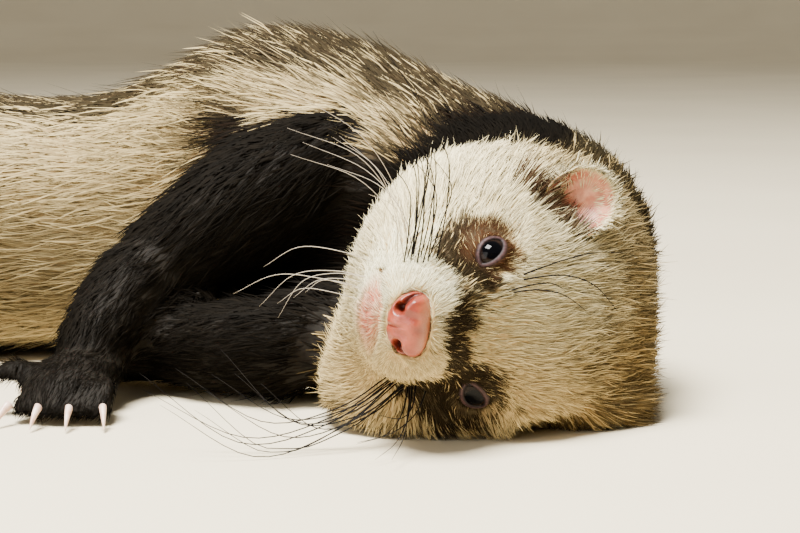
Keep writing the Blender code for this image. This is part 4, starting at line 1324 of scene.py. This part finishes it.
# No tuft grows within these radii of the pad's middle
NOSE_BARE_AT = 49.0
NOSE_BARE_RADII = (6.0, NOSE_WIDE - 0.2, NOSE_HIGH - 0.2)
# The pad's profile: share of its outline and distance forward, from the middle of its face to behind its rim
NOSE_PROFILE = (
    (0.02, 52.4), (0.30, 52.45), (0.55, 52.3), (0.78, 51.8), (0.92, 51.0), (1.0, 49.9),
    (1.01, 48.9), (1.02, 48.0), (1.06, 47.0), (1.0, 45.6), (0.3, 45.0),
)
NOSE_STEPS = 8
NOSE_SIDES = 160
# The outline's squareness across and up, and its width at the middle, more to the top and less to both ends
NOSE_SQUARE = (0.72, 0.78)
NOSE_WIDTHS = (0.90, 0.16, 0.12)
# Distance forward from which the face of the pad is shaped
NOSE_FACE = (46.5, 48.5)
NOSE_UNEVEN = 0.12
NOSE_RIPPLE = 2.4
NOSTRIL_PATH = ((3.4, -4.3), (4.3, -3.5), (5.1, -3.0), (5.8, -2.3), (6.2, -1.2))
NOSTRIL_DEPTH = 3.2
NOSTRIL_WIDE = 0.95
SLIT_DEPTH = 2.0
SLIT_WIDE = 0.60
SLIT_NARROWS = 0.25
SLIT_SHALLOWS = 0.4
# How much of the nostrils' painted shade the slits take
SLIT_SHADE = 0.8
LOBE_HIGH = 0.35
LOBE_AT = 1.3
LOBE_WIDE = 0.6
LOBE_FROM = (0.0, 0.3)
CREASE_DEPTH = 0.5
CREASE_WIDE = 0.35
CREASE_FROM = (-2.0, -5.5)
NOSE_STAIN = (-0.2, -0.2)
STAIN_RADII = (1.0, 0.8)
STAIN_SHARE = 0.75
NOSE_FRECKLES = ((1.6, -1.2), (2.4, -2.6), (0.6, 0.2), (-1.0, -1.0), (3.2, -0.8), (1.0, -4.2))
FRECKLE_WIDE = 0.22
FRECKLE_SHARE = 0.6
NOSE_PALE_FROM = (-0.9, 0.6)


def squared(values, power):
    """Sines or cosines with their sign, raised to a power, which makes a circle more square."""
    return np.sign(values) * np.abs(values) ** power


def make_nose(material):
    """The pad: a rounded shield, narrower at the lip, with comma-shaped nostrils pressed into it."""
    profile, _ = curve_through(NOSE_PROFILE, NOSE_STEPS)
    turn = full_turn(NOSE_SIDES)
    rise = squared(np.sin(turn), NOSE_SQUARE[1])
    plain, top, ends = NOSE_WIDTHS
    across = squared(np.cos(turn), NOSE_SQUARE[0]) * NOSE_WIDE * (plain + top * rise - ends * rise * rise)
    outline = np.stack((across, NOSE_HIGH * rise), axis=1)
    rings = np.empty((len(profile), NOSE_SIDES, 3))
    rings[..., 0] = profile[:, 1, None]
    rings[..., 1:] = NOSE_AT + outline * profile[:, 0, None, None]
    head = rings.reshape(-1, 3)
    front = smooth_step(*NOSE_FACE, head[:, 0])
    face = head[:, 1:]
    deep = np.zeros(len(head))
    for side in BOTH_SIDES:
        path = [(r * side, u) for r, u in NOSTRIL_PATH]
        distance, share = from_path(face, path)
        hole = hump(np.linalg.norm(face - path[0], axis=1), NOSTRIL_WIDE, 3)
        slit = hump(distance, SLIT_WIDE - SLIT_NARROWS * share)
        lobe = hump(distance - LOBE_AT, LOBE_WIDE) * smooth_step(*LOBE_FROM, share)
        pressed = np.maximum(NOSTRIL_DEPTH * hole, SLIT_DEPTH * (1 - SLIT_SHALLOWS * share) * slit)
        head[:, 0] += front * (LOBE_HIGH * lobe - pressed)
        # The nostrils and slits are marked for painted shade
        deep = np.maximum(deep, np.clip(np.maximum(hole, SLIT_SHADE * slit), 0, 1))
    crease = hump(face[:, 0], CREASE_WIDE) * smooth_step(*CREASE_FROM, face[:, 1])
    head[:, 0] -= CREASE_DEPTH * front * crease
    head[:, 0] += NOSE_UNEVEN * front * ripple(head, NOSE_RIPPLE, 9)
    piece = closed_form("nose_pad", from_head(head).reshape(rings.shape))
    stain = STAIN_SHARE * hump(np.linalg.norm((face - NOSE_STAIN) / STAIN_RADII, axis=1), 1)
    for spot in NOSE_FRECKLES:
        freckle = FRECKLE_SHARE * hump(np.linalg.norm(face - spot, axis=1), FRECKLE_WIDE)
        stain = np.maximum(stain, freckle)
    mark(piece, deep=deep, stain=stain, pale=smooth_step(*NOSE_PALE_FROM, face[:, 1]))
    give(piece, material, ["nose"])


# Each ear on the head: its root, the way to its tip, the way its hollow looks, and how deep the hollow is
EAR_FRAMES = {
    "ear_right": ((10.8, 23.3, 15.6), (-0.45, 0.60, 0.66), (0.865, 0.236, 0.395), 3.4),
    "ear_left": ((2, -20, 21), (-0.62, 0, 0.78), (0, -1, 0), 1.0),
}
EAR_HEIGHT = 7.4
EAR_WIDTH = 13.0
EAR_THICKNESS = 1.5
EAR_FOLD = 1.0
EAR_SIDES = 72
EAR_RINGS = 22
EAR_INNERMOST = 0.06
# How far out the rim begins to curl, how far past the outline its edge is, and how the cup thins to it
EAR_CURL = (0.7, 1)
EAR_RIM = 1.045
EAR_THINS = 0.4
# The folds in the hollow: how high, how many round it, and where they begin
EAR_RIDGE = 1.4
EAR_RIDGES = 3
EAR_RIDGE_TURN = 0.6
EAR_COAT = 2.8
EAR_BARE = 0.34
EAR_FRINGE_LONGER = 2.4
EAR_FRINGE_FROM = 0.3
# Forward in the head, where the dark hair of the ear begins and is full
EAR_DARK_FROM = (10.2, 12.8)
# And where the painted shade in the hollow begins
EAR_HOLLOW_SHADE_FROM = (8.4, 12.6)
EAR_HOLLOW_SHADE = 0.85
EAR_COVERS = 0.9
EAR_LYING_LOW = 0.5
EAR_LYING_FLAT = 0.3


def ear_frame(name):
    """Where an ear's cup is fixed, the way to its tip, the way its hollow looks, and its depth."""
    root, rise, face, cup = EAR_FRAMES[name]
    rise, face = head_direction(rise), head_direction(face)
    return from_head(root), rise, unit(face - rise * (face @ rise)), cup


def make_ear(name, material):
    """A round cup with a rim that curls forward. What its coat grows on comes back for the coat."""
    root, rise, face, depth = ear_frame(name)
    wide = np.cross(rise, face)
    turn = full_turn(EAR_SIDES)
    outline = turned(wide * EAR_WIDTH / 2, rise * EAR_HEIGHT, turn)
    front, back = [], []
    for r in np.linspace(EAR_INNERMOST, 1, EAR_RINGS):
        ridge = EAR_RIDGE * np.cos(EAR_RIDGES * turn + EAR_RIDGE_TURN) * r * (1 - r)
        sheet = root + outline * r - face * (depth * (1 - r * r) - EAR_FOLD * smooth_step(*EAR_CURL, r))
        half = EAR_THICKNESS / 2 * (1 - EAR_THINS * r ** 4)
        front.append(sheet + np.outer(half + ridge, face))
        back.append(sheet - face * half)
    rim = root + outline * EAR_RIM + face * EAR_FOLD
    rings = np.array(front + [rim] + back[::-1])
    if name == "ear_left":
        rings[..., 2] = EAR_LYING_LOW + (rings[..., 2] - rings[..., 2].min()) * EAR_LYING_FLAT
    piece = closed_form(f"{name}_cup", rings)
    # The hollow's rings are bare skin up to the last two, and the rim and the back of the cup are not
    inner = np.repeat([1.0] * (EAR_RINGS - 2) + [0.5, 0.0] + [0.0] * (EAR_RINGS + 1), EAR_SIDES)
    # Painted shade in the hollow, towards the nose side
    hollow = EAR_HOLLOW_SHADE * smooth_step(*EAR_HOLLOW_SHADE_FROM, to_head(rings.reshape(-1, 3))[:, 0])
    mark(piece, inner=np.append(inner, (1.0, 0.0)), hollow=np.append(hollow, (0.3, 0.0)))
    give(piece, material, [name])

    points = rings.reshape(-1, 3)
    quads = grid_faces(len(rings), EAR_SIDES)
    normals = vertex_normals(points, quads)
    if (normals[-EAR_SIDES:] @ face).mean() > 0:
        normals = -normals
    ring_number = np.arange(len(points)) // EAR_SIDES
    near_nose = smooth_step(*EAR_DARK_FROM, to_head(points)[:, 0]) * (ring_number < EAR_RINGS)
    furred = (ring_number > EAR_RINGS * EAR_BARE) | (near_nose > EAR_FRINGE_FROM)
    lie = unit(points - root) * (1 - near_nose)[:, None] + rise * near_nose[:, None]
    count = len(points)
    uv = np.stack(((np.arange(count) % EAR_SIDES) / EAR_SIDES, ring_number / len(rings)), axis=1)
    cup = {"points": points, "triangles": halved(quads), "normals": normals, "lie": along_skin(lie, normals),
           "length": EAR_COAT + EAR_FRINGE_LONGER * near_nose, "uv": uv, "names": np.full(count, name)}
    return cup, np.flatnonzero(furred[cup["triangles"]].all(axis=1))


# Claws and whiskers

CLAW_RINGS = 10
CLAW_SIDES = 12
CLAW_RADIUS = 1.05
CLAW_ARCH = 0.35
# The horn beside its solid: how much longer it is, and how far back it begins
CLAW_LONGER = 1.08
CLAW_BEGINS = 0.12
# The share of a solid's points that marks its base, and the horn's taper, tip radius and flatness
CLAW_BASE = 0.3
CLAW_TAPER = 0.7
CLAW_TIP = 0.05
CLAW_FLAT = 0.7


def make_claw(node, foot, material):
    """A curved, flattened claw along its solid."""
    points, _ = solid_arrays(node)
    way = unit(points.mean(axis=0) - centroid(foot))
    reach = points @ way
    base = points[reach < np.quantile(reach, CLAW_BASE)].mean(axis=0)
    tip = points[np.argmax(reach)]
    along = unit(tip - base)
    length = np.linalg.norm(tip - base)
    side = unit(np.cross(along, UP))
    over = np.cross(side, along)
    turn = full_turn(CLAW_SIDES)
    rings = []
    for t in np.linspace(0, 1, CLAW_RINGS):
        at = base + along * (length * (CLAW_LONGER * t - CLAW_BEGINS))
        at = at + over * (CLAW_ARCH * math.sin(math.pi * t))
        radius = CLAW_RADIUS * (1 - t) ** CLAW_TAPER + CLAW_TIP
        rings.append(at + radius * turned(side * CLAW_FLAT, over, turn))
    rings = np.array(rings)
    rings[..., 2] = np.maximum(rings[..., 2], FLOOR_CLEAR)
    piece = closed_form(f"{node}_horn", rings)
    give(piece, material, [node])


# Families of whiskers: colour, how many, the middle of their roots on the head, how far the roots spread,
# and the bends of a full-grown one from its root, to the picture's right, away from the camera and up
WHISKER_FAMILIES = (
    ("dark", 12, (41.5, 11.5, -5.0), (2.6, 1.0, 2.6), ((3, -4, 13), (4, -8, 27), (-5, -10, 42))),
    ("pale", 8, (40.0, 12.5, -9.5), (2.4, 1.0, 2.0), ((-2, -4, 11), (-9, -6, 22), (-22, -6, 30))),
    ("pale", 7, (37.0, 7.0, -17.0), (3.0, 6.0, 2.0), ((-7, -4, 2), (-15, -5, 2), (-22, -4, -3))),
    ("dark", 11, (37.0, -14.0, -8.5), (2.6, 1.2, 2.4), ((-11, -5, -7), (-26, -8, -10), (-42, -7, 2))),
    ("dark", 5, (37.0, -15.0, -5.0), (2.0, 1.0, 2.0), ((-1, -6, -4), (-4, -12, -7), (-9, -17, -8))),
    ("dark", 4, (32.0, 8.5, 11.0), (2.0, 2.0, 1.5), ((8, -2, 2), (14, -1, 1), (18, 1, -3))),
)
WHISKER_COLOURS = {
    "dark": (linear(9, 7, 7), linear(16, 13, 12)),
    "pale": (linear(196, 186, 168), linear(150, 140, 126)),
}
WHISKER_RADIUS = {"dark": 0.14, "pale": 0.055}
WHISKER_TAPER = 0.6
WHISKER_TIP = 0.02
WHISKER_SIZES = (0.55, 1.1)
WHISKER_SUNK = 0.8
# How far the ends of a whisker's three lengths stray
WHISKER_FAN = (0.8, 2.2, 4.2)
WHISKER_STEPS = 6
WHISKER_SIDES = 4
NOT_QUITE_UP = UP + 0.01


def bristle_lines(skin):
    """The middle lines of the whiskers of each colour, from roots on the skin."""
    random = np.random.default_rng(SEED + 1)
    tree = BVHTree.FromPolygons(skin["points"].tolist(), skin["quads"].tolist())
    made = {colour: [] for colour in WHISKER_COLOURS}
    for colour, count, middle, spread, bends in WHISKER_FAMILIES:
        for _ in range(count):
            place = from_head(np.array(middle) + np.array(spread) * random.uniform(-1, 1, 3))
            root, normal = (np.array(found) for found in tree.find_nearest(place.tolist())[:2])
            bent = np.array(bends) * random.uniform(*WHISKER_SIZES)
            bent = bent + random.standard_normal(3) * np.array(WHISKER_FAN)[:, None]
            line, way = curve_through(np.vstack((root - WHISKER_SUNK * normal, root + bent)), WHISKER_STEPS)
            line[:, 2] = np.maximum(line[:, 2], 2 * FLOOR_CLEAR)
            made[colour].append((line, way))
    return made


def make_whiskers(skin):
    """Thin tapered bristles rooted in the pads of the muzzle, the chin and over the eye."""
    turn = full_turn(WHISKER_SIDES)[None, :, None]
    for colour, bristles in bristle_lines(skin).items():
        points, faces, along, count = [], [], [], 0
        for line, way in bristles:
            side = unit(np.cross(way, NOT_QUITE_UP))
            over = np.cross(side, way)
            share = np.linspace(0, 1, len(line))
            radius = WHISKER_RADIUS[colour] * (1 - share) ** WHISKER_TAPER + WHISKER_TIP
            out = np.cos(turn) * side[:, None] + np.sin(turn) * over[:, None]
            points.append((line[:, None] + radius[:, None, None] * out).reshape(-1, 3))
            last = (len(line) - 1) * WHISKER_SIDES
            caps = np.array((range(WHISKER_SIDES)[::-1], range(last, last + WHISKER_SIDES)))
            faces.append(np.concatenate((grid_faces(len(line), WHISKER_SIDES), caps)) + count)
            along.append(np.repeat(share, WHISKER_SIDES))
            count += len(line) * WHISKER_SIDES
        piece = new_object(f"whiskers_{colour}", np.concatenate(points), np.concatenate(faces))
        mark(piece, along=np.concatenate(along))
        give(piece, whisker_material(f"whisker_{colour}", *WHISKER_COLOURS[colour]))


# Stage

CAMERA_FROM_EYES = (-15.75, -394.98, 59.06)
CAMERA_PITCH = 7.0
LENS = 94.5
SENSOR_WIDTH = 36
# The floor's profile: distance from the middle and height, flat and then curved up into a wall all round
FLOOR_PROFILE = (
    (1, 0), (1500, 0), (3000, 0), (3500, 60), (3900, 300), (4150, 800), (4250, 1500), (4250, 2600),
)
FLOOR_SIDES = 96
# Lights in metres: place, size, power and colour
LIGHTS = {
    "window": ((-0.15, -0.30, 1.15), 0.5, 92, (1.0, 0.985, 0.95)),
    "front": ((-0.8, -1.0, 0.5), 0.9, 15, (1.0, 0.97, 0.91)),
}
SKY_COLOUR = (1.0, 0.98, 0.94, 1)
SKY_STRENGTH = 0.36


def make_camera():
    """The photo's view, a little down on the animal from the front."""
    data = bpy.data.cameras.new("camera")
    data.lens = LENS
    data.sensor_width = SENSOR_WIDTH
    data.clip_start = 0.01
    data.clip_end = 200
    camera = bpy.data.objects.new("camera", data)
    camera.location = (EYES_MIDDLE + np.array(CAMERA_FROM_EYES)) * MM
    camera.rotation_euler = (math.radians(90 - CAMERA_PITCH), 0, 0)
    bpy.context.scene.collection.objects.link(camera)
    bpy.context.scene.camera = camera


def area_light(name, place, size, power, colour):
    """A soft light that looks at the eyes."""
    data = bpy.data.lights.new(name, "AREA")
    data.size = size
    data.energy = power
    data.color = colour
    light = bpy.data.objects.new(name, data)
    light.location = place
    light.rotation_euler = Vector(EYES_MIDDLE * MM - place).to_track_quat("-Z", "Y").to_euler()
    bpy.context.scene.collection.objects.link(light)


def make_stage():
    """The floor, the light of the sky and the lights."""
    turn = full_turn(FLOOR_SIDES)
    rings = [np.stack((np.cos(turn) * reach, np.sin(turn) * reach, np.full(FLOOR_SIDES, height)), axis=1)
             for reach, height in FLOOR_PROFILE]
    floor = new_object("floor", np.concatenate(rings), grid_faces(len(rings), FLOOR_SIDES))
    floor.data.materials.append(floor_material())
    world = bpy.data.worlds.new("world")
    world.use_nodes = True
    sky = world.node_tree.nodes["Background"].inputs
    sky["Color"].default_value = SKY_COLOUR
    sky["Strength"].default_value = SKY_STRENGTH
    bpy.context.scene.world = world
    for name, values in LIGHTS.items():
        area_light(name, *values)


def main():
    skin = make_skin()
    skin["triangles"] = halved(skin["quads"])
    skin["names"] = np.array(FLESH)[skin["labels"]]
    skin["uv"] = unwrapped(skin)
    piece = new_object("skin", skin["points"], skin["quads"])
    marks = markings(skin["points"], skin["names"])
    mark(piece, dark=marks["dark"] * marks["solid"], bare=marks["bare"], line=marks["line"])
    give(piece, skin_material(), FLESH)
    coat = make_coat(skin)
    make_whiskers(skin)

    eyes = eye_material()
    lids = lid_material()
    for name, side in (("right", 1), ("left", -1)):
        make_eye(name, side, eyes)
        make_lids(name, side, lids)
    make_nose(nose_material())
    ears = ear_material()
    for number, name in enumerate(EARS):
        cup, furred = make_ear(name, ears)
        random = np.random.default_rng(SEED + 2 + number)
        coat_piece(name, cup, furred, EAR_TRIANGLES, coat, random)
    horn = claw_material()
    for limb in LIMBS:
        for number in CLAWS:
            make_claw(f"{limb}_claw_{number}", f"{limb}_foot", horn)
    make_camera()
    make_stage()


main()
